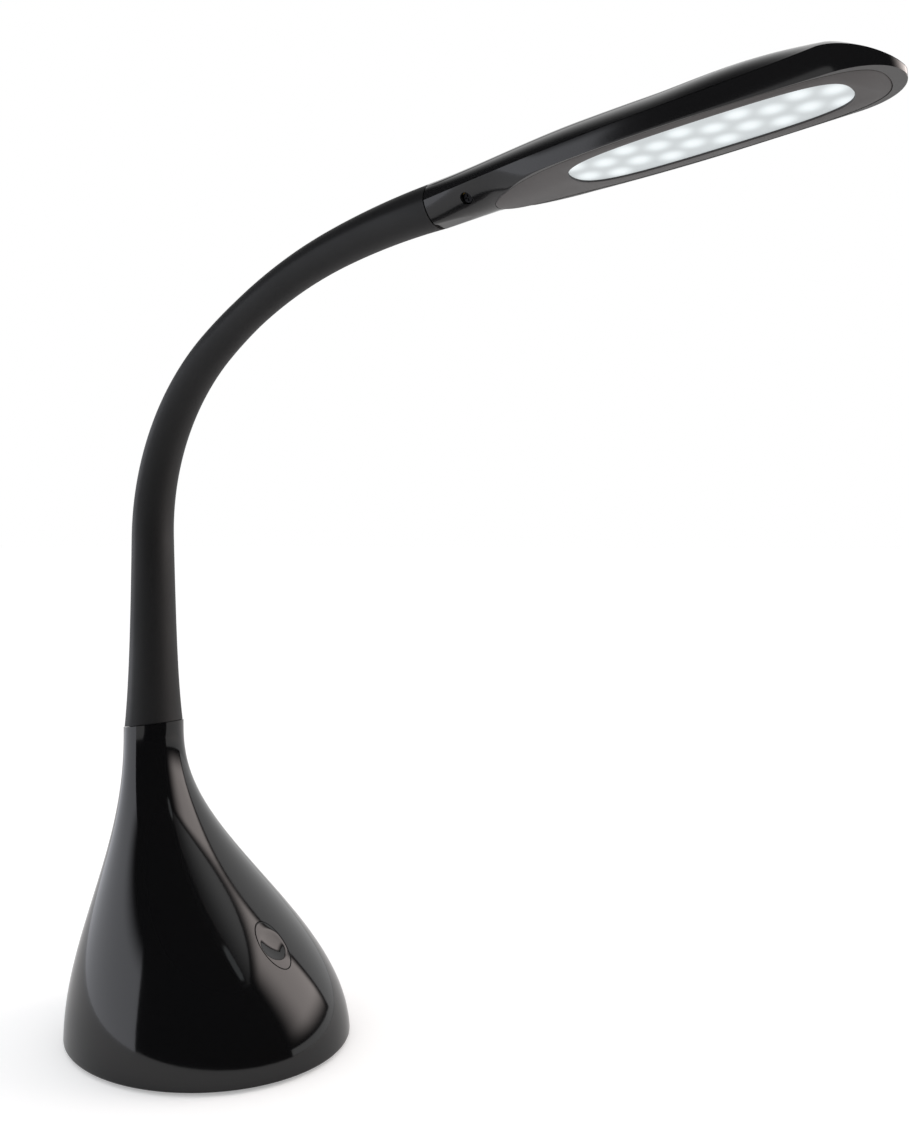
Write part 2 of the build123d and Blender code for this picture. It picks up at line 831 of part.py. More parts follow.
def head_loft(places, inset):
    """The head's skin through two-arc sections, moved in by an inset."""
    sections = []
    for place in places:
        half_width = head_width_at(place) - inset
        top = crown_height(place) - inset
        bottom = belly_depth(place) - inset
        middle = head_side.from_local_coords((place, corner_height(place), 0))
        with BuildSketch(Plane(middle, x_dir=(0, 1, 0), z_dir=head_plane.x_dir)) as section:
            with BuildLine():
                ThreePointArc((-half_width, 0), (0, top), (half_width, 0))
                ThreePointArc((half_width, 0), (0, -bottom), (-half_width, 0))
            make_face()
        sections.append(section.sketch)
    return loft(sections)


def planform(inset):
    """The head seen from above, with its rounded nose, as a tall solid."""
    reach = nose_length + head_half_width
    with BuildPart() as plan:
        with BuildSketch(head_plane.offset(-reach)):
            with Locations((nose_start / 2 - nose_length, 0)):
                Rectangle(nose_start + 2 * nose_length, 2 * reach)
            with Locations((nose_start, 0)):
                Ellipse(nose_length - inset, head_width_at(nose_start) - inset)
        extrude(amount=2 * reach)
    return plan.part


def outline(shape, grow, height):
    """An outline around the head's middle line from four rounded quarters, made larger by grow."""
    start, middle, end, half_width, rear, front = shape
    start, end, half_width = start - grow, end + grow, half_width + grow
    rear_handle = middle - rear * (middle - start)
    front_handle = middle + front * (end - middle)
    with BuildSketch(head_plane.offset(height)) as face:
        with BuildLine():
            for side in (-half_width, half_width):
                Bezier((start, 0), (start, rear * side), (rear_handle, side), (middle, side))
                Bezier((middle, side), (front_handle, side), (end, front * side), (end, 0))
        make_face()
    return face.sketch


def below_parting(shift):
    """Everything under the parting surface of the two shells, moved up by a shift."""
    places = layer_places + [nose_start + nose_length]
    with BuildPart() as under:
        with BuildSketch(head_side):
            with BuildLine():
                edge = Spline([(place, corner_height(place) + shift) for place in places])
                Polyline(edge @ 1, (places[-1], -nose_start), (places[0], -nose_start), edge @ 0)
            make_face()
        extrude(amount=2 * head_half_width, both=True)
    return under.part


bezel_shape = (
    bezel_start, bezel_middle, bezel_end, bezel_half_width, bezel_rear_fullness, bezel_front_fullness,
)
lens_shape = (lens_start, lens_middle, lens_end, lens_half_width, lens_rear_fullness, lens_front_fullness)
layer_places = [nose_start * layer / (head_layers - 1) for layer in range(head_layers)]
nose_middle = nose_start + nose_length / 2
floor_top = bezel_thickness + floor_thickness
with BuildPart() as head_form:
    add(head_loft(layer_places + [nose_middle, nose_start + 1.1 * nose_length], 0))
    add(planform(0), mode=Mode.INTERSECT)
    with BuildSketch(head_plane):
        with Locations((flat_start + nose_start / 2, 0)):
            Rectangle(nose_start, 3 * head_half_width)
    extrude(amount=-head_half_width, mode=Mode.SUBTRACT)
    extrude(outline(bezel_shape, bezel_rim, 0), amount=-head_half_width, mode=Mode.SUBTRACT)

with BuildPart() as head_room:
    add(head_loft([place for place in layer_places if place > clamp_place] + [nose_middle], head_wall))
    add(planform(head_wall), mode=Mode.INTERSECT)
    split(bisect_by=head_plane.offset(floor_top), keep=Keep.TOP)
    split(bisect_by=neck_end.offset(clamp_end), keep=Keep.TOP)

# The link's end passes through the rear of both shells, and the clamp lies in a round pocket.
with BuildPart() as neck_passage:
    with BuildSketch(neck_end):
        Circle(link_radius + sleeve_fit)
    extrude(amount=tail_start)
    with BuildSketch(neck_end):
        Circle(tail_radius + sleeve_fit)
    extrude(amount=clamp_end)
    with BuildSketch(neck_end.offset(clamp_place)):
        Circle(clamp_radius + clamp_fit)
    extrude(amount=clamp_length + head_wall)

# ---------------------------------------------------------------- head: the two shells

screw_depth = bezel_thickness + head_clearance / 3
shell_screw_places = [(rear_boss_place, side * rear_boss_spread) for side in (-1, 1)]
shell_screw_places += [(front_boss_place, side * front_boss_spread) for side in (-1, 1)]
light_screw_places = [(led_first - led_pitch / 2, 0), (led_first + led_per_row * led_pitch, 0)]
reflector_top = bezel_thickness + lens_flange_height + reflector_height
board_top = reflector_top + light_board_thickness
spreader_top = board_top + spreader_thickness
rear_joint = corner_height(rear_boss_place)
front_joint = corner_height(front_boss_place)
with BuildPart() as lower_housing:
    add(head_form.part)
    add(below_parting(-parting_gap / 2), mode=Mode.INTERSECT)
    add(head_room.part, mode=Mode.SUBTRACT)
    for places, joint in ((shell_screw_places[:2], rear_joint), (shell_screw_places[2:], front_joint)):
        with BuildSketch(head_plane.offset(floor_top)):
            with Locations(*places):
                Circle(shell_boss_radius)
        extrude(amount=joint - floor_top)
        with BuildSketch(head_plane.offset(joint)):
            with Locations(*places):
                Circle(shell_boss_radius + boss_clearance)
        extrude(amount=head_half_width, mode=Mode.SUBTRACT)
    bezel_recess = outline(bezel_shape, bezel_clearance, -bezel_rim)
    extrude(bezel_recess, amount=bezel_rim + bezel_thickness, mode=Mode.SUBTRACT)
    extrude(outline(lens_shape, lens_flange + lens_clearance, 0), amount=floor_top, mode=Mode.SUBTRACT)
    with BuildSketch(head_plane):
        with Locations(*shell_screw_places):
            Circle(light_screw_head_radius + lens_clearance)
    extrude(amount=screw_depth + light_screw_head_height, mode=Mode.SUBTRACT)
    with BuildSketch(head_plane):
        with Locations(*shell_screw_places):
            Circle(light_screw_radius + screw_clearance)
    extrude(amount=spreader_top, mode=Mode.SUBTRACT)
    add(neck_passage.part, mode=Mode.SUBTRACT)
    for side in (-1, 1):
        screw_plane = Plane(
            origin=neck_end.offset(clamp_place + clamp_length / 2).origin,
            x_dir=head_plane.x_dir,
            z_dir=(
                head_plane.y_dir * side * cos(radians(clamp_screw_angle))
                - head_plane.z_dir * sin(radians(clamp_screw_angle))
            ),
        )
        with BuildSketch(screw_plane):
            Circle(clamp_screw_radius + screw_clearance)
        extrude(amount=clamp_radius + clamp_land, mode=Mode.SUBTRACT)
        with BuildSketch(screw_plane.offset(clamp_radius + clamp_land)):
            Circle(clamp_screw_head_radius + head_clearance)
        extrude(amount=head_half_width, mode=Mode.SUBTRACT)
save(lower_housing, "lower_housing")

with BuildPart() as cover_bosses:
    for places, joint in (
        (shell_screw_places[:2], rear_joint),
        (shell_screw_places[2:], front_joint),
        (light_screw_places, spreader_top),
    ):
        with BuildSketch(head_plane.offset(joint)):
            with Locations(*places):
                Circle(shell_boss_radius)
        extrude(amount=head_half_width)
    add(head_form.part, mode=Mode.INTERSECT)

with BuildPart() as top_cover:
    add(head_form.part)
    add(below_parting(parting_gap / 2), mode=Mode.SUBTRACT)
    add(head_room.part, mode=Mode.SUBTRACT)
    for places, joint in ((shell_screw_places[:2], rear_joint), (shell_screw_places[2:], front_joint)):
        with BuildSketch(head_plane.offset(joint)):
            with Locations(*places):
                Circle(shell_boss_radius + boss_clearance)
        extrude(amount=-joint, mode=Mode.SUBTRACT)
    add(cover_bosses.part)
    with BuildSketch(head_plane):
        with Locations(*shell_screw_places):
            Circle(light_screw_radius + screw_clearance)
    extrude(amount=screw_depth + light_screw_head_height + shell_screw_length, mode=Mode.SUBTRACT)
    with BuildSketch(head_plane):
        with Locations(*light_screw_places):
            Circle(light_screw_radius + screw_clearance)
    extrude(amount=reflector_top + light_screw_length, mode=Mode.SUBTRACT)
    add(neck_passage.part, mode=Mode.SUBTRACT)
save(top_cover, "head_top_cover")


def head_screws(places, height, length):
    """Small screws at places on the head's plane, heads down at a height above it."""
    with BuildPart() as group:
        with Locations(head_plane.offset(height)):
            with Locations(*[(place, side, 0) for place, side in places]):
                add(screw(light_screw_radius, light_screw_head_radius, light_screw_head_height, length))
    return group


save(head_screws(shell_screw_places, screw_depth, shell_screw_length), "shell_screws")
light_screw_start = reflector_top - light_screw_head_height
save(head_screws(light_screw_places, light_screw_start, light_screw_length), "light_board_screws")

# ---------------------------------------------------------------- head: bezel, lens, light engine

with BuildPart() as bezel_plate:
    extrude(outline(bezel_shape, 0, 0), amount=bezel_thickness)
    chamfer(bezel_plate.edges().group_by(Axis(head_plane.origin, head_plane.z_dir))[0], length=bezel_edge)
    extrude(outline(lens_shape, lens_clearance, 0), amount=bezel_thickness, mode=Mode.SUBTRACT)
save(bezel_plate, "bezel_plate")

with BuildPart() as diffuser_lens:
    extrude(outline(lens_shape, 0, lens_recess), amount=bezel_thickness - lens_recess)
    extrude(outline(lens_shape, lens_flange, bezel_thickness), amount=lens_flange_height)
save(diffuser_lens, "diffuser_lens")

reflector_start = bezel_thickness + lens_flange_height
narrowed = -reflector_inset - reflector_draft
with BuildPart() as reflector:
    loft([
        outline(lens_shape, reflector_wall - reflector_inset, reflector_start),
        outline(lens_shape, reflector_wall + narrowed, reflector_top),
    ])
    loft(
        [outline(lens_shape, -reflector_inset, reflector_start), outline(lens_shape, narrowed, reflector_top)],
        mode=Mode.SUBTRACT,
    )
save(reflector, "reflector")

with BuildPart() as light_board:
    extrude(outline(lens_shape, 0, reflector_top), amount=light_board_thickness)
    with BuildSketch(head_plane.offset(reflector_top)):
        with Locations(*light_screw_places):
            Circle(light_screw_radius + screw_clearance)
    extrude(amount=light_board_thickness, mode=Mode.SUBTRACT)
save(light_board, "light_board")

with BuildPart() as heat_spreader:
    extrude(outline(lens_shape, -spreader_inset, board_top), amount=spreader_thickness)
    with BuildSketch(head_plane.offset(board_top)):
        with Locations(*light_screw_places):
            Circle(light_screw_radius + screw_clearance)
    extrude(amount=spreader_thickness, mode=Mode.SUBTRACT)
save(heat_spreader, "heat_spreader")

# Four rows of LEDs, every second row shifted by half a pitch.
led_places = []
for number in range(led_per_row):
    along = led_first + number * led_pitch
    led_places += [(along, -led_inner_row), (along, led_outer_row)]
    led_places += [(along + led_pitch / 2, -led_outer_row), (along + led_pitch / 2, led_inner_row)]
with BuildPart() as leds:
    with BuildSketch(head_plane.offset(reflector_top)):
        with Locations(*led_places):
            Rectangle(led_length, led_width)
    extrude(amount=-led_height)
save(leds, "leds")

# ---------------------------------------------------------------- head: clamp, its screws, leads

with BuildPart() as neck_clamp:
    with BuildSketch(neck_end.offset(clamp_place)):
        Circle(clamp_radius)
        Circle(tail_radius + clamp_fit, mode=Mode.SUBTRACT)
    extrude(amount=clamp_length)
    for side in (-1, 1):
        screw_plane = Plane(
            origin=neck_end.offset(clamp_place + clamp_length / 2).origin,
            x_dir=head_plane.x_dir,
            z_dir=(
                head_plane.y_dir * side * cos(radians(clamp_screw_angle))
                - head_plane.z_dir * sin(radians(clamp_screw_angle))
            ),
        )
        with BuildSketch(screw_plane):
            Circle(clamp_screw_radius + screw_clearance)
        extrude(amount=clamp_radius + clamp_land, mode=Mode.SUBTRACT)
save(neck_clamp, "neck_clamp")

clamp_screw_length = clamp_radius + clamp_land - tail_radius - clamp_fit
with BuildPart() as clamp_screws:
    for side in (-1, 1):
        outward = (
            head_plane.y_dir * side * cos(radians(clamp_screw_angle))
            - head_plane.z_dir * sin(radians(clamp_screw_angle))
        )
        screw_top = clamp_radius + clamp_land + clamp_screw_head_height
        middle = neck_end.offset(clamp_place + clamp_length / 2).origin
        with Locations(Plane(middle + outward * screw_top, x_dir=head_plane.x_dir, z_dir=-outward)):
            add(screw(clamp_screw_radius, clamp_screw_head_radius, clamp_screw_head_height, clamp_screw_length))
save(clamp_screws, "clamp_screws")

lead_start = head_side.to_local_coords(neck_plane(last_place).offset(lead_end_gap).origin)
lead_rest = board_top + lead_radius
with BuildLine(head_side) as head_lead_path:
    FilletPolyline(
        (lead_start.X, lead_start.Y), (0, bezel_drop), (head_lead_rise_start, bezel_drop),
        (head_lead_rise_end, lead_rest), (head_lead_end, lead_rest),
        radius=lead_bend_radius,
    )
head_lead_wire = head_lead_path.wire()
head_lead_plane = Plane(head_lead_wire @ 0, x_dir=(0, 1, 0), z_dir=head_lead_wire % 0)
save(leads(head_lead_wire, head_lead_plane), "neck_lead_7")
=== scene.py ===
from math import atan2, cos, exp, pi, radians, sin, sqrt, tan

import bmesh
import bpy
from mathutils import Matrix, Vector


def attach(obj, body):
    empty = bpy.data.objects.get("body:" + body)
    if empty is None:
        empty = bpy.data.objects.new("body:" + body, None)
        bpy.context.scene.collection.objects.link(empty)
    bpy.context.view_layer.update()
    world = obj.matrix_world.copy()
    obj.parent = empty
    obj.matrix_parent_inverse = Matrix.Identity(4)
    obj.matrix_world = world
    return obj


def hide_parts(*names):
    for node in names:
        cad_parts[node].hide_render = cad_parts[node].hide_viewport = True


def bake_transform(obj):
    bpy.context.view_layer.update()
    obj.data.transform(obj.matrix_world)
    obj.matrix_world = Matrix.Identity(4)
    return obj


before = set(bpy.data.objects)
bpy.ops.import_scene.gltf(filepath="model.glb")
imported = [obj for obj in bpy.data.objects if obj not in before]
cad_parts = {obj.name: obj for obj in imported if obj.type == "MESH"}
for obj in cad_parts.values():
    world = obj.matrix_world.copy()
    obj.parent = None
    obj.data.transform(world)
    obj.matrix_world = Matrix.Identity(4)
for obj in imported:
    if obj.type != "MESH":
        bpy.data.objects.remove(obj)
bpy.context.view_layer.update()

# ---------------------------------------------------------------- bell base
# The foot of the lamp is one thin moulding of black ABS with a mould-polished face, so it mirrors
# the room in soft-edged bands. It is oval at the desk and flows up into the neck.

MM = 0.001
BASE_LENGTH, BASE_WIDTH, BASE_HEIGHT = 144.0, 130.0, 149.0
ROOT_X, ROOT_LENGTH, ROOT_WIDTH = -38.0, 27.6, 31.0
FRONT_CURVE, REAR_CURVE, SIDE_CURVE = 2.8, 3.6, 2.6
FOOT_GAP, RIM_FILLET, SHELL_WALL = 1.5, 1.4, 3.0
BELL_SEGMENTS, BELL_RINGS, RING_STEP = 208, 75, 2.0
SEAM_TILT = radians(8.0)
BUTTON_HEIGHT, BUTTON_LENGTH, BUTTON_WIDTH, BUTTON_GAP = 51.5, 26.0, 14.5, 0.25
INLET_X, INLET_HEIGHT, INLET_BORE = -69.0, 23.0, 4.0
BUTTON_HOLE_DEPTH, INLET_HOLE_DEPTH = 16.0, 20.0
PATCH_SIZE = 35.0


def linear(hex_colour):
    """An sRGB hex colour as linear RGBA."""
    channels = [int(hex_colour[place:place + 2], 16) / 255 for place in (1, 3, 5)]
    return [c / 12.92 if c <= 0.04045 else ((c + 0.055) / 1.055) ** 2.4 for c in channels] + [1.0]


def add_node(tree, kind, links=(), **settings):
    """Add a node. Settings name properties or inputs, links pair a socket or value with an input."""
    new = tree.nodes.new(kind)
    for name, value in settings.items():
        if hasattr(new, name):
            setattr(new, name, value)
        else:
            new.inputs[name.replace("_", " ")].default_value = value
    for source, target in links:
        if isinstance(source, bpy.types.NodeSocket):
            tree.links.new(source, new.inputs[target])
        else:
            new.inputs[target].default_value = source
    return new


def emptied_tree(owner):
    """The node tree of a material or a world, with nothing in it."""
    owner.use_nodes = True
    owner.node_tree.nodes.clear()
    return owner.node_tree


def moulded(name, colour, roughness, wear, grain_mm, grain_height_mm, **shader_settings):
    """A finish with a fine grain and a gloss that varies a little from place to place."""
    material = bpy.data.materials.new(name)
    tree = emptied_tree(material)
    place = add_node(tree, "ShaderNodeTexCoord").outputs["Object"]
    patches = add_node(
        tree, "ShaderNodeTexNoise", [(place, "Vector")], Scale=1 / (PATCH_SIZE * MM), Detail=5.0,
    )
    gloss = add_node(
        tree, "ShaderNodeMapRange", [(patches.outputs["Fac"], "Value")],
        From_Min=0.3, From_Max=0.7, To_Min=roughness - wear, To_Max=roughness + wear,
    )
    grain = add_node(
        tree, "ShaderNodeTexNoise", [(place, "Vector")], Scale=1 / (grain_mm * MM), Detail=2.0,
    )
    bump = add_node(
        tree, "ShaderNodeBump", [(grain.outputs["Fac"], "Height")], Distance=grain_height_mm * MM,
    )
    shader = add_node(
        tree, "ShaderNodeBsdfPrincipled",
        [(gloss.outputs["Result"], "Roughness"), (bump.outputs["Normal"], "Normal")],
        Base_Color=linear(colour), **shader_settings,
    )
    add_node(tree, "ShaderNodeOutputMaterial", [(shader.outputs["BSDF"], "Surface")])
    return material


def dress(material, *names):
    """Give CAD nodes a finish."""
    for name in names:
        slots = bpy.data.objects[name].data.materials
        slots.clear()
        slots.append(material)


def finished(name, bm, material, crisp=40):
    """A piece at the origin from a bmesh, shaded smooth except over its crisp edges."""
    mesh = bpy.data.meshes.new(name)
    bm.to_mesh(mesh)
    bm.free()
    mesh.materials.append(material)
    mesh.shade_smooth()
    mesh.set_sharp_from_angle(angle=radians(crisp))
    piece = bpy.data.objects.new(name, mesh)
    bpy.context.scene.collection.objects.link(piece)
    return piece


def carve(piece, tool, crisp=40):
    """Cut a piece with a tool for good, and put the tool away."""
    modifier = piece.modifiers.new("carve", "BOOLEAN")
    modifier.object, modifier.operation, modifier.solver = tool, "DIFFERENCE", "EXACT"
    bpy.context.view_layer.update()
    shaped = piece.evaluated_get(bpy.context.evaluated_depsgraph_get())
    carved = bpy.data.meshes.new_from_object(shaped)
    piece.modifiers.clear()
    piece.data = carved
    carved.shade_smooth()
    carved.set_sharp_from_angle(angle=radians(crisp))
    bpy.data.objects.remove(tool)


def bell_ring(height):
    """Middle, half length and half width of the bell at a height."""
    swell = max(0.0, 1 - (height / BASE_HEIGHT) ** 2)
    root_front, root_rear = ROOT_X + ROOT_LENGTH / 2, ROOT_X - ROOT_LENGTH / 2
    front = root_front + (BASE_LENGTH / 2 - root_front) * swell**FRONT_CURVE
    rear = root_rear - (BASE_LENGTH / 2 + root_rear) * swell**REAR_CURVE
    side = ROOT_WIDTH / 2 + (BASE_WIDTH - ROOT_WIDTH) / 2 * swell**SIDE_CURVE
    return (front + rear) / 2, (front - rear) / 2, side


def ring_place(height, inset=0.0):
    """Where a unit circle goes to become the bell's ring at a height."""
    middle, half_length, half_width = bell_ring(height)
    size = Matrix.Diagonal(((half_length - inset) * MM, (half_width - inset) * MM, 1, 1))
    return Matrix.Translation((middle * MM, 0, height * MM)) @ size


def skin_through(bm, edges, places):
    """Extrude a closed outline from place to place, each a matrix, and return its last edges."""
    for before, after in zip(places, places[1:]):
        grown = bmesh.ops.extrude_edge_only(bm, edges=edges)["geom"]
        edges = [item for item in grown if isinstance(item, bmesh.types.BMEdge)]
        verts = [item for item in grown if isinstance(item, bmesh.types.BMVert)]
        bmesh.ops.transform(bm, matrix=after @ before.inverted(), verts=verts)
    return edges


def oval_bar(name, place, half_length, half_width, depth, segments=128):
    """An oval bar along a place's z axis, to cut a hole with."""
    bm = bmesh.new()
    bmesh.ops.create_cone(
        bm, cap_ends=True, segments=segments, radius1=1, radius2=1, depth=depth * MM,
    )
    bmesh.ops.scale(bm, vec=(half_length * MM, half_width * MM, 1), verts=bm.verts)
    bmesh.ops.transform(bm, matrix=place, verts=bm.verts)
    return finished(name, bm, gloss_black)


# Mould-polished ABS: a sharp mirror, with the faint ripple that any moulding has.
gloss_black = moulded(
    "polished black ABS", "#0d0d0e", roughness=0.075, wear=0.02, grain_mm=3.0, grain_height_mm=0.004,
)

bm = bmesh.new()
bmesh.ops.create_circle(bm, segments=BELL_SEGMENTS, radius=1)
bell_places = []
for step in range(6):
    # The rim rolls in over a quarter circle.
    turn = radians(18 * step)
    rim_height, rim_inset = RIM_FILLET * (1 - cos(turn)), RIM_FILLET * (1 - sin(turn))
    bell_places.append(ring_place(FOOT_GAP + rim_height, rim_inset))
bell_places += [
    ring_place(FOOT_GAP + RIM_FILLET + RING_STEP * step) for step in range(1, BELL_RINGS + 1)
]
bmesh.ops.transform(bm, matrix=bell_places[0], verts=bm.verts)
skin_through(bm, bm.edges[:], bell_places)
# The moulding ends at the neck in a plane that rises towards the front.
bmesh.ops.bisect_plane(
    bm, geom=bm.verts[:] + bm.edges[:] + bm.faces[:], clear_outer=True,
    plane_co=(ROOT_X * MM, 0, BASE_HEIGHT * MM), plane_no=(-sin(SEAM_TILT), 0, cos(SEAM_TILT)),
)
bmesh.ops.recalc_face_normals(bm, faces=bm.faces)
bmesh.ops.solidify(bm, geom=bm.faces[:], thickness=SHELL_WALL * MM)
bell = finished("bell_moulding", bm, gloss_black)

# The button's place: x runs up the slope, z leaves it squarely.
low, high = bell_ring(BUTTON_HEIGHT - 0.5), bell_ring(BUTTON_HEIGHT + 0.5)
slope = atan2(1.0, low[0] + low[1] - high[0] - high[1])
middle, half_length, half_width = bell_ring(BUTTON_HEIGHT)
button_x = middle + half_length
button_place = Matrix((
    (-cos(slope), 0, sin(slope), button_x * MM),
    (0, -1, 0, 0),
    (sin(slope), 0, cos(slope), BUTTON_HEIGHT * MM),
    (0, 0, 0, 1),
))
carve(bell, oval_bar(
    "button_hole_tool", button_place, BUTTON_LENGTH / 2 + BUTTON_GAP, BUTTON_WIDTH / 2 + BUTTON_GAP,
    BUTTON_HOLE_DEPTH,
))
inlet_place = Matrix.Translation((INLET_X * MM, 0, INLET_HEIGHT * MM)) @ Matrix.Rotation(pi / 2, 4, "Y")
carve(bell, oval_bar("inlet_hole_tool", inlet_place, INLET_BORE, INLET_BORE, INLET_HOLE_DEPTH, 64))
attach(bell, "base")
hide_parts("base_shell")

# ---------------------------------------------------------------- push button
# An oval cap of the same polished ABS, dished for a fingertip. It lies flush in the front slope
# with a hairline of shadow round it, and goes in by 0.8 mm.

DISH_RADIUS, DISH_DEPTH, CAP_DEPTH, CAP_EDGE = 28.0, 1.15, 4.4, 0.3
DISH_SOFTNESS = 0.05


def slope_lift(x, y):
    """How high the bell's face stands over the button's place at a point, in millimetres."""
    below, above = -12.0, 12.0
    for _ in range(40):
        lift = (below + above) / 2
        place = button_place @ Vector((x * MM, y * MM, lift * MM))
        middle, half_length, half_width = bell_ring(place.z / MM)
        outside = ((place.x / MM - middle) / half_length) ** 2 + (place.y / MM / half_width) ** 2
        below, above = (below, lift) if outside > 1 else (lift, above)
    return lift


bm = bmesh.new()
bmesh.ops.create_circle(bm, segments=96, radius=1)
cap_oval = Matrix.Diagonal((BUTTON_LENGTH / 2 * MM, BUTTON_WIDTH / 2 * MM, 1, 1))
# Rings stand close together at the rounded edge and wider apart towards the middle.
shares = [1.0] + [1.0 - 0.012 * step for step in range(1, 6)]
shares += [0.94 - 0.047 * step for step in range(1, 20)]
bmesh.ops.transform(bm, matrix=cap_oval, verts=bm.verts)
foot_edges = bm.edges[:]
inner = skin_through(bm, foot_edges, [cap_oval @ Matrix.Scale(share, 4) for share in shares])
bmesh.ops.contextual_create(bm, geom=inner)
for vert in bm.verts:
    x, y = vert.co.x / MM, vert.co.y / MM
    face = slope_lift(x, y)
    dish = (x * x + y * y) / (2 * DISH_RADIUS) - DISH_DEPTH
    share = sqrt((x / (BUTTON_LENGTH / 2)) ** 2 + (y / (BUTTON_WIDTH / 2)) ** 2)
    soft = 0.5 * (face + dish - sqrt((face - dish) ** 2 + DISH_SOFTNESS))
    edge = max(0.0, 1 - (1 - share) * BUTTON_WIDTH / 2 / CAP_EDGE)
    vert.co.z = (soft - CAP_EDGE * (1 - sqrt(max(0.0, 1 - edge * edge)))) * MM
skirt = bmesh.ops.extrude_edge_only(bm, edges=foot_edges)["geom"]
skirt_verts = [item for item in skirt if isinstance(item, bmesh.types.BMVert)]
bmesh.ops.translate(bm, vec=(0, 0, -CAP_DEPTH * MM), verts=skirt_verts)
skirt_edges = [item for item in skirt if isinstance(item, bmesh.types.BMEdge)]
bmesh.ops.contextual_create(bm, geom=skirt_edges)
bmesh.ops.transform(bm, matrix=button_place, verts=bm.verts)
bmesh.ops.recalc_face_normals(bm, faces=bm.faces)
cap = finished("button_cap", bm, gloss_black)
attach(cap, "button")
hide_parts("push_button")

# The cap presses an acetal plunger in a nylon switch on a circuit board behind the slope. Nylon
# has a dull sheen, acetal a waxy one, and the board's lacquer shines a little through its green.
switch_black = moulded(
    "black nylon", "#1a1a1b", roughness=0.42, wear=0.06, grain_mm=0.6, grain_height_mm=0.01,
)
plunger_white = moulded(
    "white acetal", "#e9e9e6", roughness=0.35, wear=0.05, grain_mm=0.8, grain_height_mm=0.006,
)
board_green = moulded(
    "green solder mask", "#135c30", roughness=0.32, wear=0.06, grain_mm=0.5, grain_height_mm=0.006,
)
dress(switch_black, "switch_body")
dress(plunger_white, "switch_plunger")
dress(board_green, "control_board")

# ---------------------------------------------------------------- base plate and ballast
# A spark-textured ABS plate closes the bell from below, and a cast-iron weight lies on it. Four
# rubber feet sit in its recesses, and zinc-plated screws hold plate, weight and board.

# The plate's tooth and the rubber scatter light, paint softens the casting's lumps, and zinc and
# brass keep a bright, slightly brushed glint.
texture_black = moulded(
    "spark-textured black ABS", "#171718",
    roughness=0.5, wear=0.06, grain_mm=0.45, grain_height_mm=0.02,
)
foot_rubber = moulded(
    "black foot rubber", "#161617", roughness=0.78, wear=0.05, grain_mm=0.8, grain_height_mm=0.02,
)
painted_iron = moulded(
    "painted cast iron", "#2b2d30", roughness=0.55, wear=0.1, grain_mm=2.0, grain_height_mm=0.12,
)
zinc = moulded(
    "zinc-plated steel", "#b4b6b8",
    roughness=0.32, wear=0.1, grain_mm=0.4, grain_height_mm=0.004, Metallic=1.0,
)
brass = moulded(
    "turned brass", "#c8a45c",
    roughness=0.28, wear=0.08, grain_mm=0.3, grain_height_mm=0.003, Metallic=1.0,
)
dress(texture_black, "base_plate")
dress(foot_rubber, "rubber_feet")
dress(painted_iron, "ballast_weight")
dress(zinc, "base_screws", "ballast_screws", "board_screws", "root_washer", "root_nut")

# ---------------------------------------------------------------- power inlet and wires
# A round nylon inlet at the back takes the plug of the adapter over its brass pin. Thin wires in
# black PVC run from it to the board, and from the board up through the neck.

# Extruded PVC: smooth, with a soft long highlight.
wire_cover = moulded(
    "black PVC insulation", "#141415", roughness=0.4, wear=0.06, grain_mm=0.6, grain_height_mm=0.006,
)
dress(switch_black, "inlet_body")
dress(brass, "inlet_pin")
dress(wire_cover, "power_lead", *(f"neck_lead_{number}" for number in range(8)))

# ---------------------------------------------------------------- gooseneck links
# Inside the neck, turned aluminium links bend at seven places and hold by friction. The sleeve
# hides all of them.

# Turned and left as machined: bright, with a fine grey haze.
link_metal = moulded(
    "turned aluminium", "#a9acb0",
    roughness=0.35, wear=0.08, grain_mm=0.5, grain_height_mm=0.01, Metallic=1.0,
)
dress(link_metal, *(f"neck_link_{number}" for number in range(8)))

# ---------------------------------------------------------------- neck sleeve
# The neck wears one long moulding of black silicone rubber, matte with a very fine tooth. It is
# almond-shaped across, with a crisp line along each side, and thinnest two thirds of the way up.

NECK_RISE = 94.0
NECK_ARCS = ((115.0, 53.0), (220.0, 22.3), (354.0, 8.72))
NECK_LENGTH = NECK_RISE + sum(radius * radians(angle) for radius, angle in NECK_ARCS)
WAIST_AT, WAIST_WIDTH, TAPER_WIDTH, HEAD_END_WIDTH = 0.66 * NECK_LENGTH, 17.9, 25.5, 21.6
FLARE_WIDTH, FLARE_LENGTH, HEAD_FLARE_POWER = 2.75, 28.0, 1.8
SLEEVE_BULGE, SLEEVE_WALL, SEAM_GAP = 0.88, 2.0, 0.3
ARC_STEPS, RING_SPACING, LEAN_REACH = 36, 1.9, 24.0
FIRST_HINGE, LAST_HINGE, HINGES = 20.0, 319.9, 7
BEND_REACH = 17.0


def neck_frame(place):
    """Across the neck at a length along it: x to the side, y to the back, z along it."""
    x, z, lean = ROOT_X, BASE_HEIGHT + min(place, NECK_RISE), 0.0
    left = max(0.0, place - NECK_RISE)
    for radius, angle in NECK_ARCS:
        turn = min(left / radius, radians(angle))
        x += radius * (cos(lean) - cos(lean + turn))
        z += radius * (sin(lean + turn) - sin(lean))
        lean += turn
        left -= radius * turn
    return Matrix((
        (0, -cos(lean), sin(lean), (x + left * sin(lean)) * MM),
        (1, 0, 0, 0),
        (0, sin(lean), cos(lean), (z + left * cos(lean)) * MM),
        (0, 0, 0, 1),
    ))


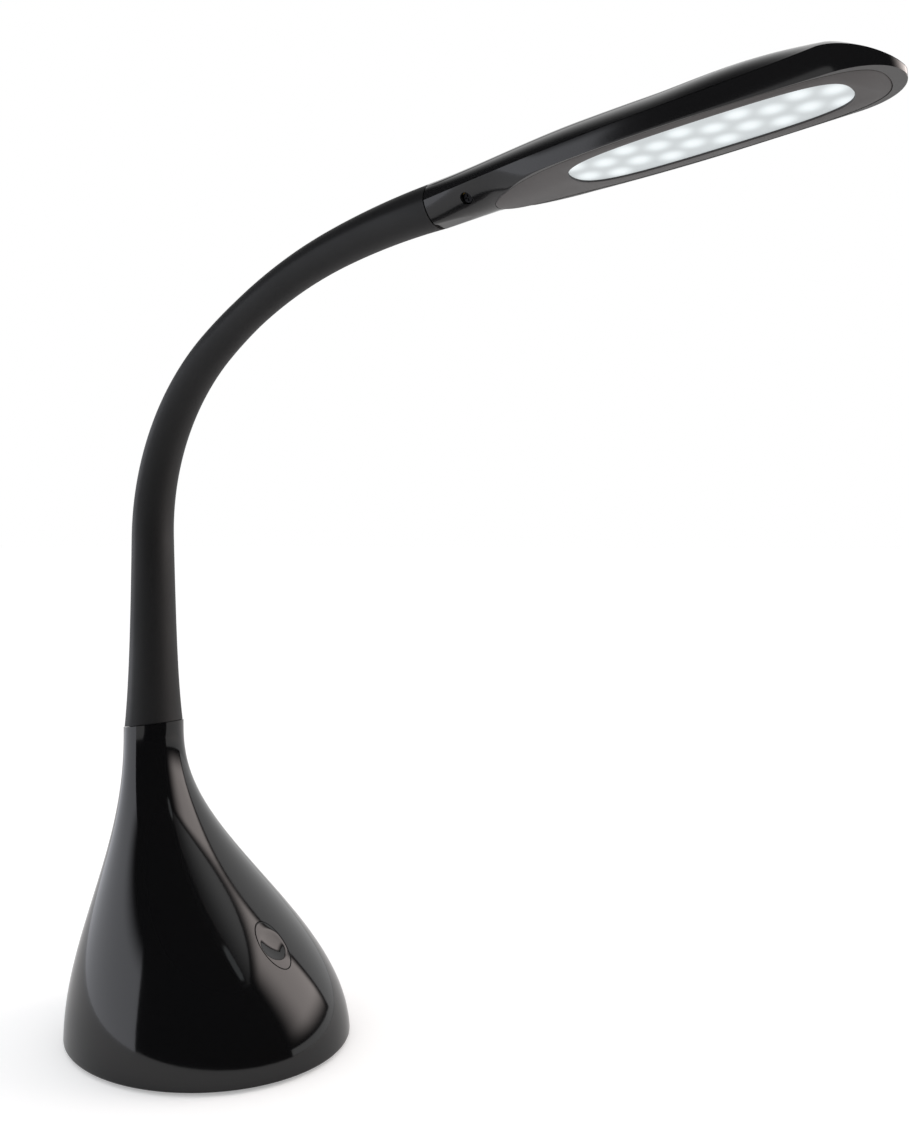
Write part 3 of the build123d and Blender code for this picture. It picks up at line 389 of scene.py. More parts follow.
def sleeve_half_width(place):
    """Half the width of the sleeve at a length along the neck."""
    waist = WAIST_WIDTH / 2
    if place < WAIST_AT:
        flare = FLARE_WIDTH * exp(-place / FLARE_LENGTH)
        return waist + (TAPER_WIDTH / 2 - waist) * (1 - place / WAIST_AT) + flare
    share = (place - WAIST_AT) / (NECK_LENGTH - WAIST_AT)
    return waist + (HEAD_END_WIDTH / 2 - waist) * share**HEAD_FLARE_POWER


def almond(bm, rise):
    """The edges of an outline one unit wide each side, from two arcs with the given rise."""
    verts = []
    radius = (1 + rise * rise) / (2 * rise)
    reach = 2 * atan2(rise, 1)
    for side in (1, -1):
        for step in range(ARC_STEPS):
            turn = reach * (1 - 2 * step / ARC_STEPS)
            height = side * (radius * cos(turn) - radius + rise)
            verts.append(bm.verts.new((side * radius * sin(turn), height, 0)))
    return [bm.edges.new((verts[place - 1], verts[place])) for place in range(len(verts))]


# Moulded silicone: matte, with a soft sheen at grazing angles and a tooth too fine to see singly.
silicone = moulded(
    "matte black silicone", "#141415",
    roughness=0.58, wear=0.05, grain_mm=0.5, grain_height_mm=0.02, Specular_IOR_Level=0.42,
)

hinge_places = [
    FIRST_HINGE + (LAST_HINGE - FIRST_HINGE) * number / (HINGES - 1) for number in range(HINGES)
]
halfway = [(before + after) / 2 for before, after in zip(hinge_places, hinge_places[1:])]
cuts = [SEAM_GAP] + halfway + [NECK_LENGTH - SEAM_GAP]
# One piece lies over each hinge, and the pieces meet halfway between hinges.
for number, hinge in enumerate(hinge_places):
    start, end = cuts[number], cuts[number + 1]
    count = max(2, round((end - start) / RING_SPACING))
    places = [start + (end - start) * step / count for step in range(count + 1)]
    frames = []
    for place in places:
        width = sleeve_half_width(place) * MM
        frames.append(neck_frame(place) @ Matrix.Diagonal((width, width, 1, 1)))
    if number == 0:
        # The root meets the bell's tilted seam, so its first rings lean with it.
        rises = [tan(SEAM_TILT) * max(0.0, 1 - (place - start) / LEAN_REACH) for place in places]
        frames = [
            Matrix(((1, 0, 0, 0), (0, 1, 0, 0), (rise, 0, 1, -rise * ROOT_X * MM), (0, 0, 0, 1)))
            @ frame_at for rise, frame_at in zip(rises, frames)
        ]
    bm = bmesh.new()
    outline = almond(bm, SLEEVE_BULGE)
    bmesh.ops.transform(bm, matrix=frames[0], verts=bm.verts)
    skin_through(bm, outline, frames)
    bmesh.ops.recalc_face_normals(bm, faces=bm.faces)
    bmesh.ops.solidify(bm, geom=bm.faces[:], thickness=SLEEVE_WALL * MM)
    sleeve = finished(f"sleeve_{number + 1}", bm, silicone, 30)
    neck_frame(hinge - BEND_REACH).translation
    neck_frame(hinge + BEND_REACH).translation
    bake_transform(sleeve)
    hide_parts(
        *([f"neck_sleeve_{number}"] if number < 6 else ["neck_sleeve_6", "neck_sleeve_7"]),
    )

# ---------------------------------------------------------------- head: the form of the shells
# The head is a flat paddle of two moulded ABS shells. They meet along its sides in a fine line,
# and the underside flattens from the neck towards the light.

# Lengths run from the end of the neck and heights stand on the flat underside, in millimetres.
HEAD_NOSE, NOSE_LENGTH, HEAD_HALF_WIDTH, WIDENING, NARROWING = 165.0, 22.5, 22.8, 118.0, 0.8
CORNER_START, CORNER_RISE, CORNER_RISE_POWER, CORNER_FALL = 6.2, 2.8, 4, 6.8
CROWN_RISE, CROWN_RISE_END, CROWN_DROP, CROWN_DROP_POWER = 3.1, 75.0, 7.3, 6.5
NOSE_FALL_POWER = 1.6
FULLNESS, FULLNESS_START, FULLNESS_BUILD = 1.25, 103.0, 50.0
FULLNESS_END, FULLNESS_FADE = 178.0, 16.0
DIP, DIP_END, DIP_BLEND, DIP_RUN = 2.5, 70.0, 48.0, 41.0
BELLY_RISE, BELLY_FULLNESS, BELLY_START, BELLY_BLEND = 0.045, 0.98, 25.0, 35.0
PARTING_GAP, HEAD_WALL, ROOM_FLOOR, FLAT_MARGIN = 0.2, 2.0, 3.2, 0.2
GROOVES, GROOVE_WIDTH, GROOVE_DEPTH = (0.42, 0.68), 0.018, 0.32
GROOVE_END, GROOVE_FADE_OUT, GROOVE_FADE_IN = 150.0, 40.0, 6.0
TOP_STEPS, SIDE_STEPS, FLAT_STEPS = 40, 14, 6
STEADY_SECTIONS, NOSE_SECTIONS = 66, 22
SHELL_START, SHELL_END = 0.3, HEAD_NOSE + NOSE_LENGTH - 0.05
ROOM_START, ROOM_END = 12.0, HEAD_NOSE + NOSE_LENGTH - 2.5
LEAST, LEAST_CROWN = 0.05, 0.4

# Moulded ABS, polished a little less than the base, so its reflections are softer.
shell_black = moulded(
    "semi-gloss black ABS", "#161617", roughness=0.15, wear=0.03, grain_mm=2.5, grain_height_mm=0.004,
)
end_frame = neck_frame(NECK_LENGTH)
along, up = Vector(end_frame.col[2][:3]), Vector(end_frame.col[1][:3])
head_at = Vector(end_frame.translation) - up * CORNER_START * MM
head_place = Matrix((
    (along.x, 0, up.x, head_at.x),
    (0, 1, 0, 0),
    (along.z, 0, up.z, head_at.z),
    (0, 0, 0, 1),
))


def smooth(share):
    """A share from 0 to 1 that starts and ends level."""
    share = min(1.0, max(0.0, share))
    return share * share * (3 - 2 * share)


def nose_share(place):
    """How far along the rounded nose a place is: 0 before it, 1 at its tip."""
    return min(1.0, max(0.0, (place - HEAD_NOSE) / NOSE_LENGTH))


def head_half_width(place):
    """Half the head's width at a length from the neck, the nose's round plan included."""
    start = HEAD_END_WIDTH / 2
    if place < WIDENING:
        return start + (HEAD_HALF_WIDTH - start) * sin(radians(90 * place / WIDENING))
    narrowed = NARROWING * (min(place, HEAD_NOSE) - WIDENING) / (HEAD_NOSE - WIDENING)
    return (HEAD_HALF_WIDTH - narrowed) * sqrt(max(0.0, 1 - nose_share(place) ** 2))


def corner_height(place):
    """Height of the line along each side where the shells meet."""
    rise = CORNER_RISE * min(1.0, place / HEAD_NOSE) ** CORNER_RISE_POWER
    return CORNER_START + rise - CORNER_FALL * nose_share(place) ** NOSE_FALL_POWER


def crown_height(place):
    """Height of the middle of the top above that line."""
    start = SLEEVE_BULGE * HEAD_END_WIDTH / 2
    drop = CROWN_DROP * min(1.0, place / HEAD_NOSE) ** CROWN_DROP_POWER
    level = start + CROWN_RISE * smooth(place / CROWN_RISE_END) - drop
    return max(LEAST_CROWN, level * (1 - nose_share(place) ** NOSE_FALL_POWER))


def flank_fullness(place):
    """How much squarer than an arc the flanks of the top are, most just before the nose."""
    built = smooth((place - FULLNESS_START) / FULLNESS_BUILD)
    return FULLNESS * built * smooth((FULLNESS_END - place) / FULLNESS_FADE)


def flat_height(place):
    """Height of the flattened underside, which dips where it runs into the neck."""
    left = DIP_END - place
    return -DIP * smooth(left / DIP_BLEND) * min(1.0, max(0.0, left / DIP_RUN))


def belly_depth(place):
    """Depth of the round underside below the side line, before it is flattened."""
    start = SLEEVE_BULGE * HEAD_END_WIDTH / 2
    low = start + corner_height(place) - CORNER_START - BELLY_RISE * place
    full = BELLY_FULLNESS * head_half_width(place)
    return low + (full - low) * smooth((place - BELLY_START) / BELLY_BLEND)


def arc_point(share, half_width, rise):
    """A point on an arc over a width, from its left end at 0 to its right end at 1."""
    radius = (half_width**2 + rise**2) / (2 * rise)
    reach = 2 * atan2(rise, half_width)
    turn = reach * (2 * share - 1)
    return radius * sin(turn), radius * (cos(turn) - 1) + rise


def top_points(place, inset, grooved):
    """The upper arc of a section from one side line to the other."""
    half_width = max(LEAST, head_half_width(place) - inset)
    rise = max(LEAST, crown_height(place) - inset)
    fade = smooth((GROOVE_END - place) / GROOVE_FADE_OUT) * smooth(place / GROOVE_FADE_IN)

    def on_top(share):
        across, height = arc_point(share, half_width, rise)
        side = min(1.0, abs(across) / half_width)
        height += rise * (side**2 - side ** (2 + flank_fullness(place)))
        return across, corner_height(place) + height

    kept = [(step / TOP_STEPS, on_top(step / TOP_STEPS)) for step in range(TOP_STEPS + 1)]
    sides = [side for groove in GROOVES for side in (groove / 2, 1 - groove / 2)]
    for side in sides if grooved else ():
        # Four points across a groove take the place of those near it.
        kept = [item for item in kept if abs(item[0] - side) > 1.2 * GROOVE_WIDTH]
        for offset, depth in ((-1, 0), (-0.35, 1), (0.35, 1), (1, 0)):
            share = side + offset * GROOVE_WIDTH
            across, height = on_top(share)
            kept.append((share, (across, height - depth * fade * GROOVE_DEPTH)))
    return [point for _, point in sorted(kept)]


def low_points(place, inset, floor):
    """The lower arc from the right side line to the left one, flattened underneath."""
    half_width = max(LEAST, head_half_width(place) - inset)
    depth = max(LEAST, belly_depth(place) - inset)
    flat = flat_height(place) + floor
    corner = corner_height(place)
    share, step = 0.5, 0.25
    if corner - depth < flat:
        # Halving the step finds where the arc meets the flat.
        share = 0.25
        for _ in range(30):
            step /= 2
            _, height = arc_point(share, half_width, depth)
            share += step if corner - height > flat else -step
    side = []
    for count in range(SIDE_STEPS + 1):
        across, height = arc_point(share * count / SIDE_STEPS, half_width, depth)
        side.append((across, max(flat, corner - height)))
    edge = side[-1]
    base = [(edge[0] * (1 - count / FLAT_STEPS), edge[1]) for count in range(1, FLAT_STEPS)]
    left = side + base
    return [(-across, height) for across, height in left] + [(0.0, edge[1])] + left[::-1]


def loft_places(first, last):
    """Places for sections, close together where the nose turns in."""
    places = [
        first + (HEAD_NOSE - first) * step / STEADY_SECTIONS for step in range(STEADY_SECTIONS + 1)
    ]
    for step in range(1, NOSE_SECTIONS + 1):
        places.append(HEAD_NOSE + (last - HEAD_NOSE) * sin(radians(90 * step / NOSE_SECTIONS)))
    return places


def head_loft(name, section, first, last):
    """A closed body whose outline at each place comes from section(place)."""
    bm = bmesh.new()
    places = loft_places(first, last)
    loop = [
        bm.verts.new((places[0] * MM, across * MM, height * MM))
        for across, height in section(places[0])
    ]
    edges = [bm.edges.new((loop[number - 1], loop[number])) for number in range(len(loop))]
    bm.faces.new(loop)
    for place in places[1:]:
        grown = bmesh.ops.extrude_edge_only(bm, edges=edges)["geom"]
        fresh = {item for item in grown if isinstance(item, bmesh.types.BMVert)}
        edges = [item for item in grown if isinstance(item, bmesh.types.BMEdge)]
        loop = [
            next(edge.other_vert(vert) for edge in vert.link_edges if edge.other_vert(vert) in fresh)
            for vert in loop
        ]
        for vert, (across, height) in zip(loop, section(place)):
            vert.co = (place * MM, across * MM, height * MM)
    bm.faces.new(loop)
    bmesh.ops.remove_doubles(bm, verts=bm.verts, dist=0.004 * MM)
    bmesh.ops.dissolve_degenerate(bm, edges=bm.edges, dist=0.003 * MM)
    bmesh.ops.transform(bm, matrix=head_place, verts=bm.verts)
    bmesh.ops.recalc_face_normals(bm, faces=bm.faces)
    return finished(name, bm, shell_black, 24)


def room_section(place):
    """The hollow inside both shells."""
    return top_points(place, HEAD_WALL, False) + low_points(place, HEAD_WALL, ROOM_FLOOR)[1:-1]


def cover_section(place):
    """The upper shell, closed below by a line from side to side."""
    top = [(across, height + PARTING_GAP / 2) for across, height in top_points(place, 0, True)]
    return top + [(top[-1][0] * share, top[-1][1]) for share in (0.5, 0.0, -0.5)]


def housing_section(place):
    """The lower shell, closed above by a line from side to side."""
    above = flat_height(place) + FLAT_MARGIN
    low = [
        (across, height - PARTING_GAP / 2 if height > above else height)
        for across, height in low_points(place, 0, 0)
    ]
    return low + [(low[-1][0] * share, low[-1][1]) for share in (0.5, 0.0, -0.5)]


# ---------------------------------------------------------------- head: top cover
# The upper shell is injection-moulded in one piece with two fine lines along each flank, which
# run out before the nose.

BORE_RADIUS, BORE_DEPTH, BORE_MIDDLE = 5.6, 14.0, 6.0

cover = head_loft("head_cover", cover_section, SHELL_START, SHELL_END)
carve(cover, head_loft("cover_room", room_section, ROOM_START, ROOM_END), crisp=24)
neck_bore = end_frame @ Matrix.Translation((0, 0, BORE_MIDDLE * MM))
carve(cover, oval_bar("cover_bore", neck_bore, BORE_RADIUS, BORE_RADIUS, BORE_DEPTH, 64), crisp=24)
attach(cover, "head")
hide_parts("head_top_cover")

# ---------------------------------------------------------------- head: lower housing
# The lower shell carries the light unit in a recess under its floor. A dark screw on each flank
# clamps the gooseneck.

# Outlines in plan: start, widest place, end, half width, and how full the rear and front are.
BEZEL = (29.0, 117.0, 182.0, 20.9, 0.6, 0.85)
LENS = (63.4, 117.0, 170.0, 15.8, 0.78, 0.85)
BEZEL_THICKNESS, BEZEL_GAP, LENS_FLANGE = 2.0, 0.15, 1.6
QUARTER_STEPS = 40
CLAMP_ANGLE, CLAMP_ALONG, CLAMP_OUT = radians(25), 20.5, 18.3
CLAMP_HOLE_RADIUS, CLAMP_HOLE_DEPTH = 2.6, 20.0


def quarter_points(start, handle_a, handle_b, end):
    """Points along a curve between two ends with two handles."""
    points = []
    for number in range(QUARTER_STEPS):
        share = number / QUARTER_STEPS
        rest = 1 - share
        weights = (rest**3, 3 * rest**2 * share, 3 * rest * share**2, share**3)
        guides = (start, handle_a, handle_b, end)
        points.append(tuple(
            sum(weight * point[axis] for weight, point in zip(weights, guides)) for axis in (0, 1)
        ))
    return points


def plan_outline(shape, grow):
    """An outline round the head's middle line from four rounded quarters."""
    start, middle, end, half_width, rear, front = shape
    start, end, half_width = start - grow, end + grow, half_width + grow
    points = []
    for side in (1, -1):
        width = side * half_width
        back = quarter_points(
            (start, 0), (start, rear * width),
            (middle - rear * (middle - start), width), (middle, width),
        )
        fore = quarter_points(
            (middle, width), (middle + front * (end - middle), width), (end, front * width), (end, 0),
        )
        half = back + fore
        points += half if side == 1 else [(end, 0)] + half[:0:-1]
    return points


def plan_plate(name, outline, low, high, material, bend=False, edge_round=0.0):
    """A plate over an outline, between two heights, bent down with the underside if asked."""
    bm = bmesh.new()
    verts = [bm.verts.new((x * MM, y * MM, low * MM)) for x, y in outline]
    face = bm.faces.new(verts)
    raised = bmesh.ops.extrude_face_region(bm, geom=[face])["geom"]
    top = [item for item in raised if isinstance(item, bmesh.types.BMVert)]
    bmesh.ops.translate(bm, vec=(0, 0, (high - low) * MM), verts=top)
    bmesh.ops.recalc_face_normals(bm, faces=bm.faces)
    if edge_round:
        rim = [
            edge for edge in bm.edges if all(abs(vert.co.z - low * MM) < 1e-7 for vert in edge.verts)
        ]
        bmesh.ops.bevel(
            bm, geom=rim, offset=edge_round * MM, segments=3, affect="EDGES", profile=0.5, material=-1,
        )
    if bend:
        # Cuts every 2 mm over the bent length let the faces follow the bend.
        for cut in range(30, int(DIP_END) + 1, 2):
            bmesh.ops.bisect_plane(
                bm, geom=bm.verts[:] + bm.edges[:] + bm.faces[:],
                plane_co=(cut * MM, 0, 0), plane_no=(1, 0, 0),
            )
        for vert in bm.verts:
            vert.co.z += flat_height(vert.co.x / MM) * MM
    bmesh.ops.transform(bm, matrix=head_place, verts=bm.verts)
    return finished(name, bm, material, 35)


housing = head_loft("head_housing", housing_section, SHELL_START, SHELL_END)
carve(housing, head_loft("housing_room", room_section, ROOM_START, ROOM_END), crisp=24)
carve(housing, plan_plate(
    "bezel_recess_tool", plan_outline(BEZEL, BEZEL_GAP), -3.0, BEZEL_THICKNESS, gloss_black, bend=True,
), crisp=24)
carve(housing, plan_plate(
    "lens_recess_tool", plan_outline(LENS, LENS_FLANGE), -1.0, 6.0, gloss_black,
), crisp=24)
carve(housing, oval_bar("housing_bore", neck_bore, BORE_RADIUS, BORE_RADIUS, BORE_DEPTH, 64), crisp=24)
for side in (-1, 1):
    # Each clamp screw's hole looks outwards and a little down.
    outward = Vector((0, side * cos(CLAMP_ANGLE), 0)) - up * sin(CLAMP_ANGLE)
    turn = outward.to_track_quat("Z", "Y").to_matrix().to_4x4()
    middle = Vector(end_frame.translation) + along * CLAMP_ALONG * MM + outward * CLAMP_OUT * MM
    carve(housing, oval_bar(
        "clamp_hole_tool", Matrix.Translation(middle) @ turn, CLAMP_HOLE_RADIUS, CLAMP_HOLE_RADIUS,
        CLAMP_HOLE_DEPTH, 48,
    ), crisp=24)
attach(housing, "head")
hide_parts("lower_housing")

# Black-oxide screws draw the clamp tight, dark with a dull metal glint. Zinc-plated ones join the
# shells under the bezel.
black_oxide = moulded(
    "black-oxide steel", "#1d1d1f",
    roughness=0.38, wear=0.08, grain_mm=0.4, grain_height_mm=0.004, Metallic=0.9,
)
dress(black_oxide, "clamp_screws")
dress(zinc, "shell_screws", "light_board_screws")
dress(brass, "neck_clamp")

# ---------------------------------------------------------------- head: bezel
# A satin dark-grey ABS plate is let into the underside round the lens. Its rear end bends down
# with the shell towards the neck.

BEZEL_EDGE, WINDOW_GAP = 0.4, 0.25

# Moulded with a fine satin texture: it dims reflections to a broad sheen.
bezel_grey = moulded(
    "satin grey ABS", "#363232", roughness=0.36, wear=0.05, grain_mm=0.45, grain_height_mm=0.012,
)
bezel = plan_plate(
    "head_bezel", plan_outline(BEZEL, 0), 0.0, BEZEL_THICKNESS, bezel_grey, bend=True,
    edge_round=BEZEL_EDGE,
)
carve(bezel, plan_plate(
    "bezel_window_tool", plan_outline(LENS, WINDOW_GAP), -1.0, 4.0, bezel_grey,
), crisp=35)
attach(bezel, "head")
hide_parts("bezel_plate")

# ---------------------------------------------------------------- light unit
# Sixteen white LEDs in four rows sit on a white board in a white reflector tray, with a heat
# spreader above. The frosted PMMA lens below them glows, brightest under each LED.

# Each row: how far it is shifted along the head, and its place across it.
LED_ROWS = ((0.0, -3.9), (0.0, 9.1), (10.75, -9.1), (10.75, 3.9))
LED_FIRST, LED_PITCH = 79.2, 21.5
SPOT_RADIUS, GROUND_GLOW, SPOT_GLOW = 7.5, 0.42, 0.78

# Solder mask and reflector plastic are clean whites, phosphor is a pale yellow, and the sheet
# metal has a soft grey shine.
board_white = moulded(
    "white solder mask", "#e6e8e8", roughness=0.35, wear=0.05, grain_mm=0.5, grain_height_mm=0.006,
)
reflector_white = moulded(
    "white reflector ABS", "#eef0f0", roughness=0.25, wear=0.05, grain_mm=0.8, grain_height_mm=0.004,
)
led_cover = moulded(
    "yellow LED phosphor", "#f1e5ae", roughness=0.4, wear=0.05, grain_mm=0.3, grain_height_mm=0.006,
)
spreader_metal = moulded(
    "mill-finish aluminium", "#c3c5c8",
    roughness=0.36, wear=0.08, grain_mm=0.6, grain_height_mm=0.006, Metallic=1.0,
)
dress(board_white, "light_board")
dress(reflector_white, "reflector")
dress(led_cover, "leds")
dress(spreader_metal, "heat_spreader")

# Frosted PMMA scatters the light of each LED into a soft round spot on a cooler, dimmer ground.
lens_frost = moulded(
    "frosted PMMA", "#8d9496", roughness=0.42, wear=0.05, grain_mm=0.4, grain_height_mm=0.012,
)
tree = lens_frost.node_tree
shader = next(item for item in tree.nodes if item.type == "BSDF_PRINCIPLED")
place = next(item for item in tree.nodes if item.type == "TEX_COORD").outputs["Object"]
flatten = add_node(
    tree, "ShaderNodeMapping", [(place, "Vector")], vector_type="TEXTURE",
    Location=head_place.translation, Rotation=head_place.to_3x3().to_euler(),
)
spots = []
for shift, across in LED_ROWS:
    # A row repeats every pitch along the head, on past its four LEDs to the ends of the lens.
    row_start = Vector(((LED_FIRST + shift - LED_PITCH / 2) * MM, across * MM, 0))
    shifted = add_node(
        tree, "ShaderNodeVectorMath", [(flatten.outputs["Vector"], 0), (row_start, 1)],
        operation="SUBTRACT",
    )
    parts = add_node(tree, "ShaderNodeSeparateXYZ", [(shifted.outputs[0], 0)])
    half_pitch = LED_PITCH / 2 * MM
    wrapped = add_node(
        tree, "ShaderNodeMath", [(parts.outputs["X"], 0), (half_pitch, 1)], operation="PINGPONG",
    )
    away = add_node(
        tree, "ShaderNodeMath", [(half_pitch, 0), (wrapped.outputs[0], 1)], operation="SUBTRACT",
    )
    point = add_node(tree, "ShaderNodeCombineXYZ", [(away.outputs[0], "X"), (parts.outputs["Y"], "Y")])
    reach = add_node(tree, "ShaderNodeVectorMath", [(point.outputs[0], 0)], operation="LENGTH")
    spots.append(add_node(
        tree, "ShaderNodeMapRange", [(reach.outputs["Value"], "Value")],
        interpolation_type="SMOOTHERSTEP",
        From_Min=0.0, From_Max=SPOT_RADIUS * MM, To_Min=1.0, To_Max=0.0,
    ).outputs["Result"])
total = spots[0]
for spot in spots[1:]:
    joined = add_node(tree, "ShaderNodeMath", [(total, 0), (spot, 1)], operation="ADD")
    total = joined.outputs[0]
glow = add_node(
    tree, "ShaderNodeMapRange", [(total, "Value")], To_Min=GROUND_GLOW, To_Max=SPOT_GLOW,
)
tree.links.new(glow.outputs["Result"], shader.inputs["Emission Strength"])
shader.inputs["Emission Color"].default_value = linear("#f0f6f8")
dress(lens_frost, "diffuser_lens")

# ---------------------------------------------------------------- desk, lights and camera
# A pale sweep stands under and behind the lamp. A tall softbox lights it from the right, a wall
# of bounced light from the left, and black flags keep the front of the gloss dark.

CAMERA_AT = Vector((0.4127, -0.3991, 0.2417))
CAMERA_LOOK = Vector((-0.556, 0.831, 0)).normalized()
CAMERA_DIP = radians(1.13)


def card(name, middle, width, height, material, facing):
    """A flat card that faces a point, for the studio round the lamp."""
    bm = bmesh.new()
    bmesh.ops.create_grid(bm, x_segments=1, y_segments=1, size=0.5)
    turn = (Vector(facing) - Vector(middle)).to_track_quat("Z", "Y").to_matrix().to_4x4()
    size = Matrix.Diagonal((width, height, 1, 1))
    bmesh.ops.transform(bm, matrix=Matrix.Translation(middle) @ turn @ size, verts=bm.verts)
    piece = finished(name, bm, material)
    return piece


# Matt paper that the camera sees a little brighter than it is, so that it runs out to white.
desk_white = bpy.data.materials.new("white sweep")
tree = emptied_tree(desk_white)
rays = add_node(tree, "ShaderNodeLightPath")
matt = add_node(tree, "ShaderNodeBsdfDiffuse", Color=linear("#e4e4e4"))
glow = add_node(tree, "ShaderNodeEmission", Color=(1, 1, 1, 1))
seen = add_node(
    tree, "ShaderNodeMath", [(rays.outputs["Is Camera Ray"], 0), (0.32, 1)], operation="MULTIPLY",
)
tree.links.new(seen.outputs[0], glow.inputs["Strength"])
both = add_node(tree, "ShaderNodeAddShader", [(matt.outputs[0], 0), (glow.outputs[0], 1)])
add_node(tree, "ShaderNodeOutputMaterial", [(both.outputs[0], "Surface")])
card("sweep", (0, 0, 0), 60.0, 60.0, desk_white, facing=(0, 0, 1))

# Black velvet gives nothing back.
flag_black = bpy.data.materials.new("black velvet flag")
tree = emptied_tree(flag_black)
velvet = add_node(tree, "ShaderNodeBsdfDiffuse", Color=linear("#050505"))
add_node(tree, "ShaderNodeOutputMaterial", [(velvet.outputs[0], "Surface")])

# Black net for the overhead flag: it thins out towards the back, so its edge is soft in the gloss.
net_black = bpy.data.materials.new("thinning black net")
tree = emptied_tree(net_black)
spot = add_node(tree, "ShaderNodeTexCoord").outputs["Object"]
depth = add_node(tree, "ShaderNodeSeparateXYZ", [(spot, 0)]).outputs["Y"]
thinning = add_node(
    tree, "ShaderNodeMapRange", [(depth, "Value")], interpolation_type="SMOOTHSTEP",
    From_Min=-0.1, From_Max=1.0, To_Min=0.0, To_Max=1.0,
)
threads = add_node(tree, "ShaderNodeBsdfDiffuse", Color=linear("#050505"))
openings = add_node(tree, "ShaderNodeBsdfTransparent")
net = add_node(tree, "ShaderNodeMixShader", [
    (thinning.outputs["Result"], 0), (threads.outputs[0], 1), (openings.outputs[0], 2),
])
add_node(tree, "ShaderNodeOutputMaterial", [(net.outputs[0], "Surface")])


def glowing(name, colour, strength, fades=()):
    """A lit surface that gives its light evenly, or fades out along each given direction."""
    material = bpy.data.materials.new(name)
    tree = emptied_tree(material)
    lit = add_node(tree, "ShaderNodeEmission", Color=linear(colour), Strength=strength)
    level = None
    for direction, dark_at, full_at in fades:
        place = add_node(tree, "ShaderNodeTexCoord").outputs["Object"]
        dot = add_node(
            tree, "ShaderNodeVectorMath", [(place, 0), (direction, 1)], operation="DOT_PRODUCT",
        )
        fade = add_node(
            tree, "ShaderNodeMapRange", [(dot.outputs["Value"], "Value")],
            interpolation_type="SMOOTHSTEP",
            From_Min=dark_at, From_Max=full_at, To_Min=0.0, To_Max=1.0,
        ).outputs["Result"]
        if level:
            product = add_node(tree, "ShaderNodeMath", [(level, 0), (fade, 1)], operation="MULTIPLY")
            fade = product.outputs[0]
        level = fade
    if level:
        scaled = add_node(
            tree, "ShaderNodeMath", [(level, 0), (strength, 1)], operation="MULTIPLY",
        )
        tree.links.new(scaled.outputs[0], lit.inputs["Strength"])
    add_node(tree, "ShaderNodeOutputMaterial", [(lit.outputs[0], "Surface")])
    return material


def curved_wall(name, azimuths, distance, heights, material):
    """A wall bent round the lamp between two azimuths, seen only in reflections."""
    bm = bmesh.new()
    first = radians(azimuths[0])
    foot = (distance * cos(first), distance * sin(first))
    verts = [bm.verts.new((*foot, height)) for height in heights]
    edge = [bm.edges.new(verts)]
    bmesh.ops.spin(
        bm, geom=verts + edge, cent=(0, 0, 0), axis=(0, 0, 1), dvec=(0, 0, 0),
        angle=radians(azimuths[1] - azimuths[0]), steps=32, use_merge=False,
    )
    wall = finished(name, bm, material)
    wall.visible_camera = False
    return wall


# Black in front and overhead: it is seen in the gloss alone and takes no light from the desk.
flags = [
    curved_wall("flag_front", (-190, 14), 1.4, (-0.02, 1.7), flag_black),
    curved_wall("flag_gap", (67.5, 69.5), 1.2, (0.12, 1.5), flag_black),
    card("flag_over", (0, -0.7, 1.7), 5.2, 3.8, net_black, facing=(0, -0.7, 0)),
    card("flag_low", (0.95, -0.95, 0.012), 1.2, 2.4, flag_black, facing=(0.95, -0.95, 1)),
]
for flag in flags:
    flag.visible_camera = False
    flag.visible_diffuse = False
    flag.visible_shadow = False

# A painted wall lit from below, so it fades out upwards.
UPWARD = (0, 0, 1)
wall_white = glowing("bounced white wall", "#f6f8ff", 1.7, ((UPWARD, 0.72, 0.45),))
curved_wall("wall_left", (-190, -105), 0.8, (-0.01, 0.72), wall_white)

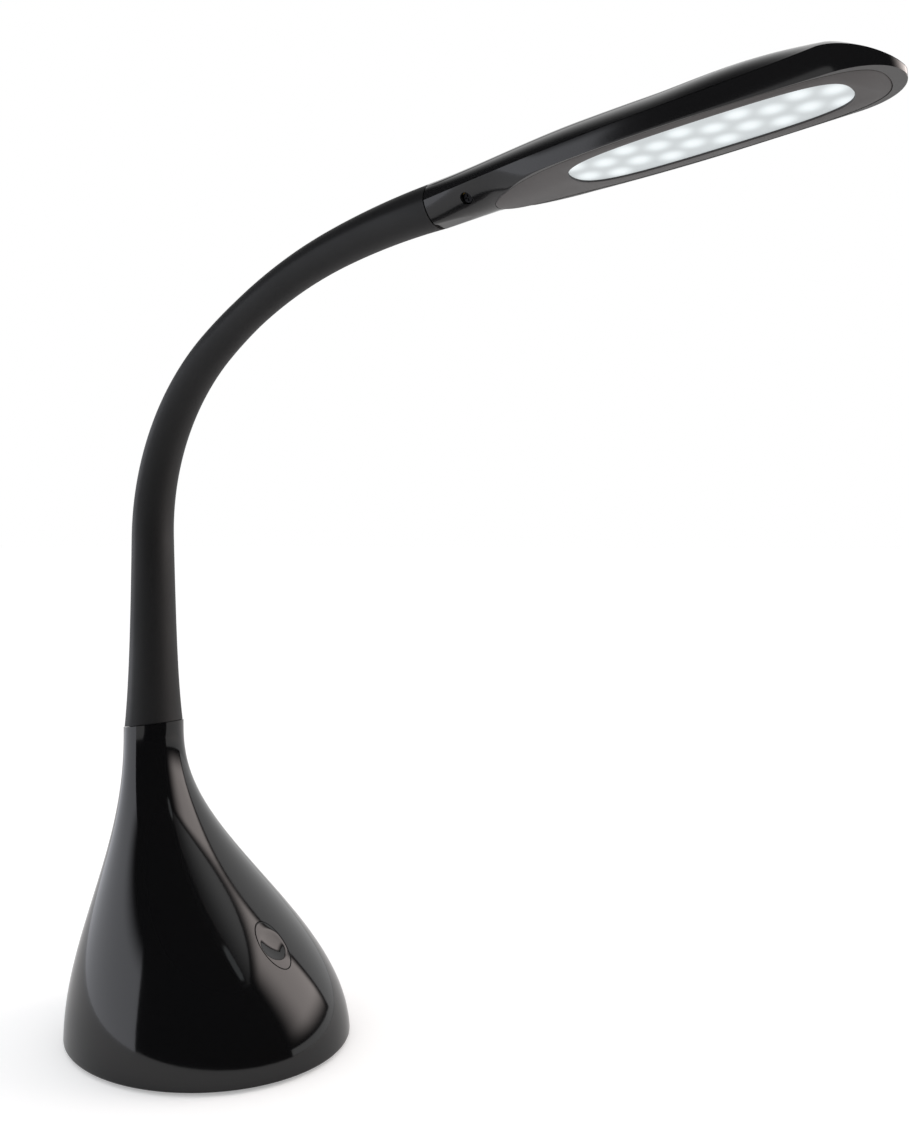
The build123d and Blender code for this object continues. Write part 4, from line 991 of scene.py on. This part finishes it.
# Softbox cloth, bright in the middle and fading to all four sides.
SOFTBOX_AZIMUTH, SOFTBOX_DISTANCE, SOFTBOX_HEIGHT = radians(40), 0.95, 0.74
across = (-sin(SOFTBOX_AZIMUTH), cos(SOFTBOX_AZIMUTH), 0)
softbox_white = glowing("softbox cloth", "#fff4f0", 3.4, (
    (across, -0.52, 0.05), (across, 0.53, 0.42), (UPWARD, 0.12, 0.4), (UPWARD, 1.35, 1.1),
))
softbox_at = (
    SOFTBOX_DISTANCE * cos(SOFTBOX_AZIMUTH), SOFTBOX_DISTANCE * sin(SOFTBOX_AZIMUTH), SOFTBOX_HEIGHT,
)
softbox = card(
    "softbox_right", softbox_at, 1.1, 1.25, softbox_white, facing=(0, 0, SOFTBOX_HEIGHT),
)
softbox.visible_camera = False

# The room is white to the camera, in the gloss and through the lens, and lights a little less.
world = bpy.data.worlds.new("studio white")
bpy.context.scene.world = world
tree = emptied_tree(world)
rays = add_node(tree, "ShaderNodeLightPath")
seen = rays.outputs["Is Camera Ray"]
for ray in ("Is Glossy Ray", "Is Transmission Ray"):
    joined = add_node(
        tree, "ShaderNodeMath", [(seen, 0), (rays.outputs[ray], 1)], operation="MAXIMUM",
    )
    seen = joined.outputs[0]
level = add_node(tree, "ShaderNodeMapRange", [(seen, "Value")], To_Min=0.92, To_Max=1.0)
sky = add_node(tree, "ShaderNodeBackground", [(level.outputs[0], "Strength")], Color=(1, 1, 1, 1))
add_node(tree, "ShaderNodeOutputWorld", [(sky.outputs[0], "Surface")])

view = bpy.data.cameras.new("camera")
view.lens, view.sensor_fit, view.sensor_height = 36.77, "VERTICAL", 36.0
camera = bpy.data.objects.new("camera", view)
camera.location = CAMERA_AT
look = CAMERA_LOOK * cos(CAMERA_DIP) - Vector((0, 0, sin(CAMERA_DIP)))
camera.rotation_euler = look.to_track_quat("-Z", "Y").to_euler()
bpy.context.scene.collection.objects.link(camera)
bpy.context.scene.camera = camera
bpy.context.scene.view_settings.view_transform = "Standard"
